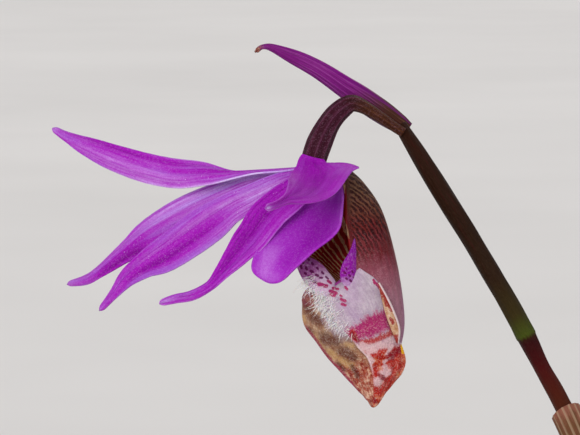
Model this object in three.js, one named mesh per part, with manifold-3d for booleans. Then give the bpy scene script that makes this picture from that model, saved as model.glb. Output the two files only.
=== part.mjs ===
// Potted calypso orchid: one nodding slipper bloom on a slender scape, with the single
// pleated basal leaf and the corm that they grow from, in the soil of a plain clay pot.
// Units are millimetres and +Z is up. The origin is the centre of the pot's foot.

import * as THREE from 'three';
import { mergeVertices } from 'three/addons/utils/BufferGeometryUtils.js';
import Module from 'manifold-3d';

const wasm = await Module();
wasm.setup();

// Driving dimensions
const CLEARANCE = 0.3;
const BLADE_THICKNESS = 0.62;

const POT = {
  height: 74,
  footRadius: 29,
  bodyRadius: 39,
  rimBase: 56,
  rimRadius: 42,
  mouthRadius: 44,
  wall: 4,
  floor: 5,
  drainRadius: 5,
};
const SOIL = { top: 66, bump: 0.7, rings: 8, segments: 30 };
const CORM = { x: 24, y: 2, z: 64.5, radius: 6.2, halfHeight: 5.4 };
const BLOOM = { x: -16, y: 0, z: 150, tilt: THREE.MathUtils.degToRad(-6) };

// The bloom has its own frame: its origin is the lower end of the ovary, +X is to the
// right of someone who looks at it from the front, +Y is away from them and +Z is up.
const bloomFrame = new THREE.Matrix4()
  .makeRotationX(BLOOM.tilt)
  .setPosition(BLOOM.x, BLOOM.y, BLOOM.z);
const intoBloom = bloomFrame.clone().invert();

// Blades are rows from base to tip, in the bloom's frame:
// midrib x, y, z, then the direction across x, y, z, then half width, cup and crease.
// The cup is the half angle of the arc that the section follows, in radians.
const DORSAL_SEPAL = [
  [-0.6, 0.3, 0.1, 0.0, 1.0, 0.0, 0.7, 0.5, 0.0],
  [-2.5, 0.5, -0.1, 0.0, 1.0, 0.05, 0.95, 0.5, 0.0],
  [-5.0, 0.7, -0.3, 0.0, 1.0, 0.15, 1.2, 0.4, 0.0],
  [-7.6, 0.9, -0.6, 0.05, 0.9, 0.4, 1.35, 0.35, 0.1],
  [-10.2, 1.2, -0.6, 0.05, 0.6, 0.8, 1.4, 0.35, 0.1],
  [-13.4, 1.5, -0.5, 0.1, 0.25, 0.95, 1.5, 0.4, 0.1],
  [-17.0, 1.8, 0.5, 0.3, 0.2, 0.95, 1.4, 0.4, 0.1],
  [-20.6, 2.1, 1.9, 0.4, 0.2, 0.9, 0.95, 0.4, 0.1],
  [-22.6, 2.3, 2.8, 0.4, 0.2, 0.9, 0.5, 0.4, 0.0],
  [-24.0, 2.4, 3.6, 0.4, 0.2, 0.9, 0.32, 0.4, 0.0],
];
const FAR_PETAL = [
  [-1.3, 1.0, -0.3, -0.2, 0.6, 0.8, 0.6, 0.5, 0.0],
  [-3.1, 1.3, -0.9, -0.3, 0.5, 0.85, 1.0, 0.5, 0.0],
  [-5.4, 1.6, -1.3, -0.3, 0.4, 0.85, 1.3, 0.45, 0.0],
  [-7.5, 1.9, -2.1, -0.4, 0.3, 0.85, 1.5, 0.4, 0.1],
  [-12.0, 2.3, -4.4, -0.5, 0.3, 0.85, 1.95, 0.35, 0.15],
  [-15.2, 2.6, -6.1, -0.5, 0.3, 0.85, 1.7, 0.35, 0.15],
  [-17.2, 2.8, -7.4, -0.55, 0.3, 0.8, 1.05, 0.4, 0.1],
  [-19.7, 3.0, -9.3, -0.55, 0.3, 0.75, 0.6, 0.5, 0.0],
  [-21.0, 3.0, -10.1, -0.3, 0.3, 0.9, 0.5, 0.5, 0.0],
  [-22.7, 3.0, -10.5, -0.1, 0.3, 0.95, 0.32, 0.5, 0.0],
];
const FAR_SEPAL = [
  [-1.3, 0.0, -0.5, 0.5, -0.4, -0.75, 0.6, 0.5, 0.0],
  [-3.4, -0.1, -1.4, 0.5, -0.4, -0.75, 1.0, 0.45, 0.0],
  [-5.8, -0.2, -2.6, 0.5, -0.35, -0.8, 1.25, 0.4, 0.0],
  [-7.9, -0.4, -3.7, 0.55, -0.3, -0.8, 1.5, 0.35, 0.1],
  [-10.0, -0.6, -5.15, 0.55, -0.25, -0.8, 1.85, 0.35, 0.2],
  [-13.7, -0.9, -7.7, 0.55, -0.2, -0.8, 1.7, 0.35, 0.2],
  [-15.6, -1.0, -8.8, 0.55, -0.2, -0.8, 1.2, 0.4, 0.1],
  [-17.1, -1.1, -9.9, 0.65, -0.2, -0.7, 0.85, 0.4, 0.0],
  [-18.2, -1.2, -11.2, 0.75, -0.2, -0.6, 0.5, 0.4, 0.0],
  [-19.6, -1.2, -12.8, 0.75, -0.2, -0.6, 0.32, 0.4, 0.0],
];
const NEAR_PETAL = [
  [-0.9, -0.9, -0.7, 0.75, -0.35, -0.55, 0.8, 0.4, 0.0],
  [-2.3, -1.6, -2.4, 0.75, -0.35, -0.55, 1.6, 0.35, 0.1],
  [-4.3, -2.4, -4.1, 0.75, -0.35, -0.6, 1.7, 0.35, 0.2],
  [-5.8, -3.0, -6.1, 0.75, -0.3, -0.6, 1.55, 0.35, 0.2],
  [-6.8, -3.4, -7.3, 0.75, -0.3, -0.6, 1.35, 0.4, 0.1],
  [-7.8, -3.8, -8.5, 0.7, -0.3, -0.65, 1.0, 0.4, 0.1],
  [-8.6, -4.1, -9.4, 0.7, -0.3, -0.65, 0.7, 0.45, 0.0],
  [-9.6, -4.4, -10.5, 0.6, -0.3, -0.75, 0.45, 0.5, 0.0],
  [-11.2, -4.7, -11.4, 0.3, -0.4, -0.85, 0.5, 0.5, 0.0],
  [-12.7, -4.9, -11.7, 0.2, -0.4, -0.9, 0.45, 0.5, 0.0],
  [-14.1, -5.0, -12.1, 0.2, -0.4, -0.9, 0.32, 0.5, 0.0],
];
const NEAR_SEPAL = [
  [-0.3, -1.2, 0.5, 1.0, 0.1, 0.0, 0.9, 0.5, 0.0],
  [0.4, -1.6, 0.1, 1.0, 0.15, 0.0, 1.9, 0.4, 0.0],
  [1.0, -2.6, -0.4, 1.0, 0.2, 0.05, 2.85, 0.3, 0.0],
  [0.3, -4.5, -1.2, 1.0, 0.1, -0.1, 2.2, 0.4, 0.1],
  [-0.8, -8.0, -2.3, 0.95, 0.05, -0.2, 1.5, 0.4, 0.1],
  [-2.3, -12.0, -3.1, 0.9, 0.0, -0.35, 0.9, 0.4, 0.0],
  [-4.7, -15.5, -3.7, 0.85, 0.0, -0.5, 0.32, 0.4, 0.0],
];
const COLUMN = [
  [0.7, 0.2, -0.2, 0.75, -0.6, -0.2, 0.9, 0.9, 0.0],
  [1.4, 0.1, -1.1, 0.7, -0.6, -0.35, 1.6, 0.9, 0.0],
  [0.3, -0.7, -3.2, 0.65, -0.6, -0.47, 2.6, 0.9, 0.0],
  [-1.3, -1.8, -5.0, 0.65, -0.6, -0.47, 3.0, 0.9, 0.0],
  [-3.0, -3.0, -7.3, 0.65, -0.6, -0.47, 2.9, 0.85, 0.0],
  [-4.6, -4.0, -9.3, 0.65, -0.6, -0.47, 2.2, 0.8, 0.0],
  [-5.2, -4.4, -10.4, 0.65, -0.6, -0.47, 0.9, 0.6, 0.0],
];
const BRACT = [
  [8.1, 1.2, 3.4, 0.5, -0.35, 0.79, 0.8, 1.3, 0.0],
  [7.2, 1.5, 3.9, 0.5, -0.35, 0.79, 1.15, 1.3, 0.0],
  [5.8, 1.7, 4.8, 0.5, -0.35, 0.79, 1.35, 1.2, 0.0],
  [3.9, 1.9, 6.1, 0.5, -0.35, 0.79, 1.35, 1.1, 0.0],
  [2.2, 1.6, 7.3, 0.5, -0.35, 0.79, 1.15, 1.0, 0.0],
  [0.0, 1.2, 8.8, 0.5, -0.35, 0.79, 0.95, 0.9, 0.0],
  [-2.1, 0.9, 9.9, 0.4, -0.35, 0.84, 0.75, 0.8, 0.0],
  [-4.1, 0.6, 10.8, 0.2, -0.35, 0.9, 0.36, 0.7, 0.0],
  [-5.0, 0.5, 10.9, -0.1, -0.35, 0.9, 0.3, 0.7, 0.0],
  [-5.6, 0.5, 10.5, -0.6, -0.35, 0.7, 0.28, 0.7, 0.0],
];
const LEAF = [
  [13.5, -7.0, 77.5, -0.4, -0.85, 0.3, 1.2, 0.9, 0.0],
  [9.5, -9.5, 80.5, -0.45, -0.85, 0.2, 6.5, 0.5, 0.5],
  [1.0, -13.5, 83.0, -0.45, -0.88, 0.1, 12.5, 0.3, 0.6],
  [-8.5, -17.5, 83.5, -0.45, -0.88, 0.0, 13.0, 0.25, 0.6],
  [-18.0, -21.0, 82.0, -0.45, -0.88, 0.0, 9.5, 0.25, 0.5],
  [-25.5, -24.0, 80.0, -0.45, -0.88, 0.0, 4.5, 0.25, 0.3],
  [-29.5, -25.5, 79.0, -0.45, -0.88, 0.0, 0.6, 0.25, 0.0],
];
const LEAF_PLEATS = { folds: 4, depth: 0.45, ripple: 1.1, ripples: 4, thickness: 0.7 };

// Round stems are rows of x, y, z and radius.
const OVARY = [
  [7.7, 0.45, 3.2, 0.45],
  [6.9, 0.4, 3.7, 0.45],
  [5.6, 0.3, 4.6, 0.5],
  [4.1, 0.1, 5.5, 0.6],
  [3.0, 0.0, 5.8, 0.75],
  [1.9, 0.0, 5.1, 0.88],
  [1.0, 0.0, 4.0, 0.94],
  [0.2, 0.0, 2.3, 0.96],
  [-0.4, 0.0, 0.5, 0.92],
  [-0.5, 0.0, -0.1, 0.6],
];
const OVARY_RIBS = { count: 6, depth: 0.07 };
const SCAPE_IN_BLOOM = [
  [7.95, 0.45, 3.05, 0.6],
  [9.4, 0.3, 0.7, 0.68],
  [11.6, 0.2, -2.9, 0.8],
  [13.5, 0.1, -5.9, 0.83],
  [15.2, 0.0, -8.8, 0.83],
  [16.8, 0.0, -11.5, 0.84],
  [18.6, 0.0, -14.8, 0.85],
  [20.2, 0.0, -18.0, 0.72],
  [21.7, 0.0, -20.7, 0.72],
  [23.2, 0.0, -23.9, 0.72],
];
const SCAPE_IN_POT = [
  [11.5, -1.6, 116, 0.65],
  [17.5, -0.6, 102, 0.7],
  [21.8, 0.8, 88, 0.8],
  [23.6, 1.8, 76, 0.9],
  [24.0, 2.0, 67.5, 0.9],
];
const PETIOLE = [
  [20.2, 0.2, 67.2, 1.1],
  [18.6, -2.4, 71.0, 1.0],
  [16.2, -5.0, 75.0, 0.95],
  [13.2, -7.2, 78.1, 0.9],
  [10.0, -9.2, 80.6, 0.6],
];
const UPPER_SHEATH = { from: 0.6, to: 0.8, wall: 0.6, slant: 0.012, flare: 0.1 };
const LOWER_SHEATH = { from: 0.765, to: 0.965, wall: 0.62, slant: 0.018, flare: 1.0 };

// The lip hangs from its base along one axis. Its mouth faces left and to the front,
// and its sections are rows of distance down the axis, half width, half depth and
// how far the section's centre lies in front of the axis.
const LIP = {
  base: new THREE.Vector3(1.5, 0.5, 0.0),
  down: new THREE.Vector3(0.16, 0.06, -0.985),
  front: new THREE.Vector3(-0.643, -0.766, 0),
  side: new THREE.Vector3(0.766, -0.643, 0),
  wall: 0.6,
};
const POUCH = [
  [0.0, 0.9, 0.8, -0.2],
  [1.5, 2.2, 2.0, -0.3],
  [4.0, 3.4, 3.1, -0.35],
  [8.0, 3.95, 3.5, -0.4],
  [12.0, 4.0, 3.2, -0.6],
  [15.0, 3.5, 2.6, -0.8],
  [18.0, 2.2, 1.6, -0.6],
  [20.0, 1.2, 0.9, -0.3],
  [21.0, 0.5, 0.4, -0.1],
];
// The mouth's rows are distance down the axis and the half angle that is open.
const MOUTH = [
  [-1.0, 1.75],
  [2.0, 1.5],
  [5.0, 0.9],
  [8.0, 0.7],
  [10.0, 0.55],
  [11.2, 0.15],
];
// The apron is a keeled shield in front of the toe. Its rows are the keel's x, y, z,
// then the widths of its near half and its far half.
const APRON = [
  [1.0, -1.7, -10.3, 3.3, 2.0],
  [1.1, -1.8, -11.2, 4.4, 3.0],
  [1.4, -1.9, -12.2, 5.2, 3.9],
  [1.9, -1.9, -13.3, 5.3, 4.9],
  [2.7, -1.8, -14.6, 4.7, 5.4],
  [3.5, -1.6, -16.0, 3.9, 4.9],
  [4.2, -1.3, -17.3, 3.5, 4.7],
  [4.9, -1.0, -18.6, 2.3, 3.8],
  [5.1, -0.6, -20.0, 1.1, 2.1],
  [5.0, -0.3, -21.3, 0.35, 0.5],
];
const APRON_FORM = {
  near: new THREE.Vector3(1, 0, 0),
  far: new THREE.Vector3(-0.66, 0.75, 0),
  bulge: 0.9,
  recede: 1.3,
  thickness: 0.62,
};
const NEAR_LOBE = [
  [2.8, -2.5, -5.6, -0.85, -0.5, -0.1, 0.35, 0.5, 0.0],
  [3.0, -2.9, -7.4, -0.85, -0.5, -0.15, 0.7, 0.5, 0.0],
  [2.9, -3.0, -9.2, -0.85, -0.45, -0.2, 0.8, 0.5, 0.0],
  [2.3, -2.4, -11.0, -0.85, -0.4, -0.3, 0.4, 0.5, 0.0],
];
const FAR_LOBE = [
  [-1.1, 0.4, -7.2, -0.8, -0.4, 0.3, 0.4, 0.5, 0.0],
  [-0.9, -0.1, -8.9, -0.8, -0.4, 0.3, 0.9, 0.5, 0.0],
  [-0.2, -0.7, -10.1, -0.75, -0.35, 0.5, 0.9, 0.5, 0.0],
  [0.7, -1.3, -11.1, -0.6, -0.3, 0.7, 0.5, 0.5, 0.0],
];
const HORN = { spread: 0.62, from: 19.6, to: 21.8, root: 0.5, tip: 0.26 };
const ANTHER = { x: -2.7, y: -3.1, z: -9.1, radii: [0.62, 0.45, 0.45] };

// Curves through rows, as the rows' first, second and third groups of three numbers
function curveThrough(rows, first) {
  const points = rows.map((row) => new THREE.Vector3(row[first], row[first + 1] ?? 0, row[first + 2] ?? 0));
  return new THREE.CatmullRomCurve3(points, false, 'catmullrom', 0.5);
}

// A closed body from points and triangles, with its faces turned outwards
function solidFrom(points, triangles) {
  const volume = triangles.reduce((sum, [a, b, c]) => (
    sum + points[a].dot(new THREE.Vector3().crossVectors(points[b], points[c]))
  ), 0);
  const turned = volume < 0 ? triangles.map(([a, b, c]) => [a, c, b]) : triangles;
  const mesh = new wasm.Mesh({
    numProp: 3,
    vertProperties: Float32Array.from(points.flatMap((point) => point.toArray())),
    triVerts: Uint32Array.from(turned.flat()),
  });
  return new wasm.Manifold(mesh);
}

function solidOf(geometry) {
  geometry.deleteAttribute('normal');
  geometry.deleteAttribute('uv');
  const merged = mergeVertices(geometry, 1e-4);
  const place = merged.getAttribute('position');
  const points = Array.from({ length: place.count }, (_, i) => new THREE.Vector3().fromBufferAttribute(place, i));
  const corners = Array.from(merged.index.array);
  const triangles = [];
  for (let i = 0; i < corners.length; i += 3) {
    const [a, b, c] = corners.slice(i, i + 3);
    if (a !== b && b !== c && c !== a) {
      triangles.push([a, b, c]);
    }
  }
  return solidFrom(points, triangles);
}

// A solid through closed rings of points, with a flat fan over each end
function loft(rings) {
  const count = rings[0].length;
  const points = rings.flat();
  const triangles = [];
  for (let row = 0; row + 1 < rings.length; row += 1) {
    for (let i = 0; i < count; i += 1) {
      const next = (i + 1) % count;
      const [a, b] = [row * count + i, row * count + next];
      triangles.push([a, b, b + count], [a, b + count, a + count]);
    }
  }
  const ends = [[rings[0], 0, true], [rings.at(-1), (rings.length - 1) * count, false]];
  for (const [ring, start, reversed] of ends) {
    const centre = ring.reduce((sum, point) => sum.add(point), new THREE.Vector3());
    points.push(centre.divideScalar(count));
    for (let i = 0; i < count; i += 1) {
      const [a, b] = [start + i, start + ((i + 1) % count)];
      triangles.push(reversed ? [b, a, points.length - 1] : [a, b, points.length - 1]);
    }
  }
  return solidFrom(points, triangles);
}

// A sheet of points made into a solid, half its thickness to each side
function thicken(grid, thickness) {
  const rows = grid.length;
  const columns = grid[0].length;
  const at = (row, column) => grid[Math.min(Math.max(row, 0), rows - 1)][Math.min(Math.max(column, 0), columns - 1)];
  const faces = [[], []];
  for (let row = 0; row < rows; row += 1) {
    for (let column = 0; column < columns; column += 1) {
      const along = at(row + 1, column).clone().sub(at(row - 1, column));
      const across = at(row, column + 1).clone().sub(at(row, column - 1));
      const normal = along.cross(across).normalize();
      faces[0].push(at(row, column).clone().addScaledVector(normal, thickness / 2));
      faces[1].push(at(row, column).clone().addScaledVector(normal, -thickness / 2));
    }
  }
  const index = (row, column) => row * columns + column;
  const back = rows * columns;
  const triangles = [];
  for (let row = 0; row + 1 < rows; row += 1) {
    for (let column = 0; column + 1 < columns; column += 1) {
      const [a, b] = [index(row, column), index(row, column + 1)];
      const [c, d] = [index(row + 1, column + 1), index(row + 1, column)];
      triangles.push([a, b, c], [a, c, d]);
      triangles.push([back + a, back + c, back + b], [back + a, back + d, back + c]);
    }
  }
  const rim = [];
  for (let column = 0; column + 1 < columns; column += 1) rim.push(index(0, column));
  for (let row = 0; row + 1 < rows; row += 1) rim.push(index(row, columns - 1));
  for (let column = columns - 1; column > 0; column -= 1) rim.push(index(rows - 1, column));
  for (let row = rows - 1; row > 0; row -= 1) rim.push(index(row, 0));
  rim.forEach((a, i) => {
    const b = rim[(i + 1) % rim.length];
    triangles.push([b, a, back + a], [b, back + a, back + b]);
  });
  return solidFrom([...faces[0], ...faces[1]], triangles);
}

// A blade's sheet: its section is an arc across the midrib, with a crease down the middle
function bladeSheet(stations, { rows, columns, grow = 0, relief = () => 0 }) {
  const [midrib, across, form] = [0, 3, 6].map((first) => curveThrough(stations, first));
  const grid = [];
  for (let row = 0; row <= rows; row += 1) {
    const t = row / rows;
    const [half, cup, crease] = form.getPoint(t).toArray();
    const tangent = midrib.getTangent(t);
    const normal = tangent.clone().cross(across.getPoint(t)).normalize();
    const side = normal.clone().cross(tangent).normalize();
    const radius = (half + grow) / cup;
    const line = [];
    for (let column = 0; column <= columns; column += 1) {
      const s = (2 * column) / columns - 1;
      const lift = radius * (1 - Math.cos(cup * s)) - crease * Math.exp(-8 * s * s) + relief(t, s);
      line.push(midrib.getPoint(t)
        .addScaledVector(side, radius * Math.sin(cup * s))
        .addScaledVector(normal, lift));
    }
    grid.push(line);
  }
  return grid;
}

function blade(stations, { rows, columns, thickness = BLADE_THICKNESS, grow = 0, relief }) {
  return thicken(bladeSheet(stations, { rows, columns, grow, relief }), thickness + 2 * grow);
}

// Rings round a curve of rows x, y, z and radius, with one reference direction throughout
function stemRings(stations, { rows, sides, from = 0, to = 1, radiusAt = (radius) => radius, shift = () => 0 }) {
  const centre = curveThrough(stations, 0);
  const thickness = curveThrough(stations.map((row) => [row[3]]), 0);
  const reference = new THREE.Vector3(0, 1, 0);
  const rings = [];
  for (let row = 0; row <= rows; row += 1) {
    const ring = [];
    for (let i = 0; i < sides; i += 1) {
      const angle = (2 * Math.PI * i) / sides;
      const along = from + (to - from) * (row / rows);
      const t = Math.min(Math.max(along + shift(row / rows, angle), 0), 1);
      const tangent = centre.getTangent(t);
      const right = reference.clone().cross(tangent).normalize();
      const front = tangent.clone().cross(right);
      const radius = radiusAt(thickness.getPoint(t).x, t, angle);
      ring.push(centre.getPoint(t)
        .addScaledVector(right, radius * Math.cos(angle))
        .addScaledVector(front, radius * Math.sin(angle)));
    }
    rings.push(ring);
  }
  return rings;
}

// Where a point lies in the lip: to its side, to its front and down its axis
function inLip(side, front, down) {
  return LIP.base.clone()
    .addScaledVector(LIP.side, side)
    .addScaledVector(LIP.front, front)
    .addScaledVector(LIP.down, down);
}

function pouchBody(inset, first, last) {
  const size = curveThrough(POUCH, 0);
  const centre = curveThrough(POUCH.map((row) => [row[3]]), 0);
  const rings = [];
  const rows = 12;
  const sides = 20;
  for (let row = 0; row <= rows; row += 1) {
    const t = first + (last - first) * (row / rows);
    const [down, width, depth] = size.getPoint(t).toArray();
    const ring = [];
    for (let i = 0; i < sides; i += 1) {
      const angle = (2 * Math.PI * i) / sides;
      const front = centre.getPoint(t).x + (depth - inset) * Math.cos(angle);
      ring.push(inLip((width - inset) * Math.sin(angle), front, down));
    }
    rings.push(ring);
  }
  return loft(rings);
}

function mouthCutter(grow) {
  const opening = curveThrough(MOUTH, 0);
  const reach = 8;
  const rows = 10;
  const steps = 12;
  const rings = [];
  for (let row = 0; row <= rows; row += 1) {
    const [down, open] = opening.getPoint(row / rows).toArray();
    const ring = [inLip(0, 0, down)];
    for (let i = 0; i <= steps; i += 1) {
      const angle = (open - grow / 4) * ((2 * i) / steps - 1);
      ring.push(inLip(reach * Math.sin(angle), reach * Math.cos(angle), down));
    }
    rings.push(ring);
  }
  return loft(rings);
}

function apronSheet() {
  const keel = curveThrough(APRON, 0);
  const widths = curveThrough(APRON.map((row) => row.slice(3)), 0);
  const rows = 11;
  const columns = 10;
  const grid = [];
  for (let row = 0; row <= rows; row += 1) {
    const t = row / rows;
    const [near, far] = widths.getPoint(t).toArray();
    const line = [];
    for (let column = 0; column <= columns; column += 1) {
      const q = (2 * column) / columns - 1;
      const point = keel.getPoint(t);
      if (q > 0) {
        const scale = near / APRON[3][3];
        point.addScaledVector(APRON_FORM.near, near * q);
        point.y += scale * (APRON_FORM.recede * q * q - APRON_FORM.bulge * Math.sin(Math.PI * q));
      } else {
        point.addScaledVector(APRON_FORM.far, -far * q);
      }
      line.push(point);
    }
    grid.push(line);
  }
  return grid;
}

function horn(side) {
  const rows = 3;
  const sides = 8;
  const rings = [];
  for (let row = 0; row <= rows; row += 1) {
    const t = row / rows;
    const down = THREE.MathUtils.lerp(HORN.from, HORN.to, t);
    const radius = THREE.MathUtils.lerp(HORN.root, HORN.tip, t);
    const ring = [];
    for (let i = 0; i < sides; i += 1) {
      const angle = (2 * Math.PI * i) / sides;
      ring.push(inLip(side * HORN.spread + radius * Math.sin(angle), radius * Math.cos(angle), down));
    }
    rings.push(ring);
  }
  return loft(rings);
}

// Each of the bloom's pieces is a function of how far its surface is grown outwards,
// so that a later neighbour can be cut to stay clear of it.
function ovary(grow) {
  const ribbed = (radius, t, angle) => {
    const ribs = OVARY_RIBS.depth * THREE.MathUtils.smoothstep(t, 0.2, 0.5);
    return radius * (1 + ribs * Math.cos(OVARY_RIBS.count * angle)) + grow;
  };
  return loft(stemRings(OVARY, { rows: 15, sides: 18, radiusAt: ribbed }));
}

function lip(grow) {
  const hollow = pouchBody(LIP.wall + grow, 0.06, 0.9);
  const shell = pouchBody(-grow, 0, 1).subtract(hollow).subtract(mouthCutter(grow));
  const apron = thicken(apronSheet(), APRON_FORM.thickness + 2 * grow);
  const lobes = [NEAR_LOBE, FAR_LOBE].map((rows) => blade(rows, { rows: 6, columns: 4, grow }));
  return [apron, ...lobes, horn(1), horn(-1)].reduce((sum, piece) => sum.add(piece), shell);
}

const column = (grow) => blade(COLUMN, { rows: 12, columns: 10, thickness: 0.8, grow });
const dorsalSepal = (grow) => blade(DORSAL_SEPAL, { rows: 16, columns: 6, grow });
const farPetal = (grow) => blade(FAR_PETAL, { rows: 16, columns: 6, grow });
const farSepal = (grow) => blade(FAR_SEPAL, { rows: 16, columns: 6, grow });
const nearPetal = (grow) => blade(NEAR_PETAL, { rows: 16, columns: 6, grow });
const nearSepal = (grow) => blade(NEAR_SEPAL, { rows: 14, columns: 6, grow });
const bract = (grow) => blade(BRACT, { rows: 16, columns: 6, grow });

function antherCap(grow) {
  const ball = new THREE.SphereGeometry(1, 8, 6);
  ball.scale(...ANTHER.radii.map((radius) => radius + grow));
  ball.translate(ANTHER.x, ANTHER.y, ANTHER.z);
  return solidOf(ball);
}

// Solids that share a root are cut in turn: each one keeps clear of those before it.
function largestBody(solid) {
  return solid.decompose().reduce((best, body) => (body.volume() > best.volume() ? body : best));
}

function clearOf(make, neighbours) {
  return largestBody(neighbours.reduce((solid, other) => solid.subtract(other(CLEARANCE)), make(0)));
}

// The scape runs from the bract down to the corm, all in the bloom's frame.
function scapeStations() {
  const lower = SCAPE_IN_POT.map(([x, y, z, radius]) => [
    ...new THREE.Vector3(x, y, z).applyMatrix4(intoBloom).toArray(), radius,
  ]);
  return [...SCAPE_IN_BLOOM, ...lower];
}

function scape(grow) {
  const radiusAt = (radius) => radius + grow;
  return loft(stemRings(scapeStations(), { rows: 30, sides: 10, radiusAt }));
}

// A tube that clasps the scape and opens a little towards its slanted upper mouth
function sheath({ from, to, wall, slant, flare }) {
  const rows = 7;
  const sides = 12;
  const shift = (share, angle) => slant * (1 - share) * Math.sin(angle);
  const skin = (depth) => stemRings(scapeStations(), {
    rows,
    sides,
    from,
    to,
    shift,
    radiusAt: (radius, t) => radius + CLEARANCE + depth + flare * Math.max((to - t) / (to - from), 0) ** 2,
  });
  return tubeBetween(skin(wall), skin(0));
}

function tubeBetween(outer, inner) {
  const count = outer[0].length;
  const loop = [...outer, ...[...inner].reverse()];
  const points = loop.flat();
  const triangles = [];
  for (let row = 0; row < loop.length; row += 1) {
    const below = (row + 1) % loop.length;
    for (let i = 0; i < count; i += 1) {
      const next = (i + 1) % count;
      const [a, b] = [row * count + i, row * count + next];
      const [c, d] = [below * count + next, below * count + i];
      triangles.push([a, b, c], [a, c, d]);
    }
  }
  return solidFrom(points, triangles);
}

// The leaf: a pleated blade whose margin ripples, on a round stalk
function leaf(grow) {
  const { folds, depth, ripple, ripples, thickness } = LEAF_PLEATS;
  const relief = (t, s) => {
    const open = Math.sin(Math.PI * Math.min(t * 1.1, 1));
    const pleat = depth * open * Math.cos(folds * Math.PI * s);
    return pleat + ripple * open * s * s * s * Math.sin(2 * Math.PI * ripples * t);
  };
  const face = blade(LEAF, { rows: 22, columns: 16, thickness, grow, relief });
  const stalk = loft(stemRings(PETIOLE, { rows: 10, sides: 12, radiusAt: (radius) => radius + grow }));
  return face.add(stalk);
}

function corm(grow) {
  const ball = new THREE.SphereGeometry(1, 14, 9);
  ball.rotateX(Math.PI / 2);
  ball.scale(CORM.radius + grow, CORM.radius + grow, CORM.halfHeight + grow);
  ball.translate(CORM.x, CORM.y, CORM.z);
  return solidOf(ball);
}

// The pot is turned: a profile round the Z axis, with a hole through its floor
function lathe(profile, segments) {
  const geometry = new THREE.LatheGeometry(profile.map(([r, z]) => new THREE.Vector2(r, z)), segments);
  geometry.rotateX(Math.PI / 2);
  return solidOf(geometry);
}

function potInnerRadius(z) {
  return THREE.MathUtils.mapLinear(z, 0, POT.rimBase, POT.footRadius, POT.bodyRadius) - POT.wall;
}

function pot() {
  const edge = 1.2;
  const mouthInner = potInnerRadius(POT.height);
  const profile = [
    [POT.drainRadius, 0],
    [POT.footRadius - edge, 0],
    [POT.footRadius, edge],
    [POT.bodyRadius, POT.rimBase - edge],
    [POT.rimRadius - edge, POT.rimBase - edge],
    [POT.rimRadius, POT.rimBase],
    [POT.mouthRadius, POT.height - edge],
    [POT.mouthRadius - edge, POT.height],
    [mouthInner + edge, POT.height],
    [mouthInner, POT.height - edge],
    [potInnerRadius(POT.floor), POT.floor],
    [POT.drainRadius, POT.floor],
    [POT.drainRadius, 0],
  ];
  return lathe(profile, 40);
}

function soilHeight(x, y) {
  const waves = Math.sin(0.31 * x + 1.3) * Math.cos(0.27 * y) + 0.6 * Math.sin(0.53 * y - 0.41 * x);
  return SOIL.top + SOIL.bump * waves;
}

function soil() {
  const bottom = POT.floor + CLEARANCE;
  const inside = (z) => potInnerRadius(z) - CLEARANCE - 0.2;
  const ringAt = (radius, height) => Array.from({ length: SOIL.segments }, (_, i) => {
    const angle = (2 * Math.PI * i) / SOIL.segments;
    const [x, y] = [radius * Math.cos(angle), radius * Math.sin(angle)];
    return new THREE.Vector3(x, y, height ?? soilHeight(x, y));
  });
  const rings = [ringAt(inside(bottom), bottom)];
  for (let i = 0; i < SOIL.rings; i += 1) {
    rings.push(ringAt(inside(SOIL.top) * (1 - i / SOIL.rings)));
  }
  const well = new THREE.CylinderGeometry(CORM.radius + CLEARANCE, CORM.radius + CLEARANCE, 20, 24);
  well.rotateX(Math.PI / 2);
  well.translate(CORM.x, CORM.y, CORM.z - CORM.halfHeight - CLEARANCE + 10);
  return loft(rings).subtract(solidOf(well));
}

// Materials and placing
function look(colour, roughness, sheen = 0) {
  return new THREE.MeshStandardMaterial({ color: colour, roughness, metalness: sheen });
}

function piece(name, solid, material) {
  const { vertProperties, triVerts } = solid.getMesh();
  const geometry = new THREE.BufferGeometry();
  geometry.setAttribute('position', new THREE.BufferAttribute(Float32Array.from(vertProperties), 3));
  geometry.setIndex(Array.from(triVerts));
  geometry.computeVertexNormals();
  const mesh = new THREE.Mesh(geometry, material);
  mesh.name = name;
  return mesh;
}

const TEPAL = 0xb53fc4;
const bloom = new THREE.Group();
bloom.rotation.x = BLOOM.tilt;
bloom.position.set(BLOOM.x, BLOOM.y, BLOOM.z);
bloom.add(
  piece('ovary', clearOf(ovary, []), look(0x6b3a4c, 0.5)),
  piece('lip', clearOf(lip, [ovary]), look(0xc9a59a, 0.55)),
  piece('column', clearOf(column, [ovary, lip]), look(0xb02ad0, 0.4)),
  piece('anther_cap', clearOf(antherCap, [column, lip]), look(0xa9813a, 0.5)),
  piece('dorsal_sepal', clearOf(dorsalSepal, [ovary, lip, column]), look(TEPAL, 0.5)),
  piece('far_sepal', clearOf(farSepal, [ovary, lip, column, dorsalSepal]), look(TEPAL, 0.5)),
  piece('near_petal', clearOf(nearPetal, [ovary, lip, column, dorsalSepal, farSepal]), look(TEPAL, 0.5)),
  piece('near_sepal', clearOf(nearSepal, [ovary, lip, column, dorsalSepal, farSepal, nearPetal]), look(TEPAL, 0.5)),
  piece('far_petal', clearOf(farPetal, [ovary, lip, column, dorsalSepal, farSepal]), look(TEPAL, 0.5)),
  piece('bract', clearOf(bract, [ovary, scape]), look(0xa9708e, 0.6)),
  piece('scape', clearOf(scape, [ovary]), look(0x5d3a20, 0.55)),
  piece('upper_sheath', sheath(UPPER_SHEATH), look(0x9a6a5a, 0.6)),
  piece('lower_sheath', sheath(LOWER_SHEATH), look(0x8a6a4a, 0.65)),
);

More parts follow.
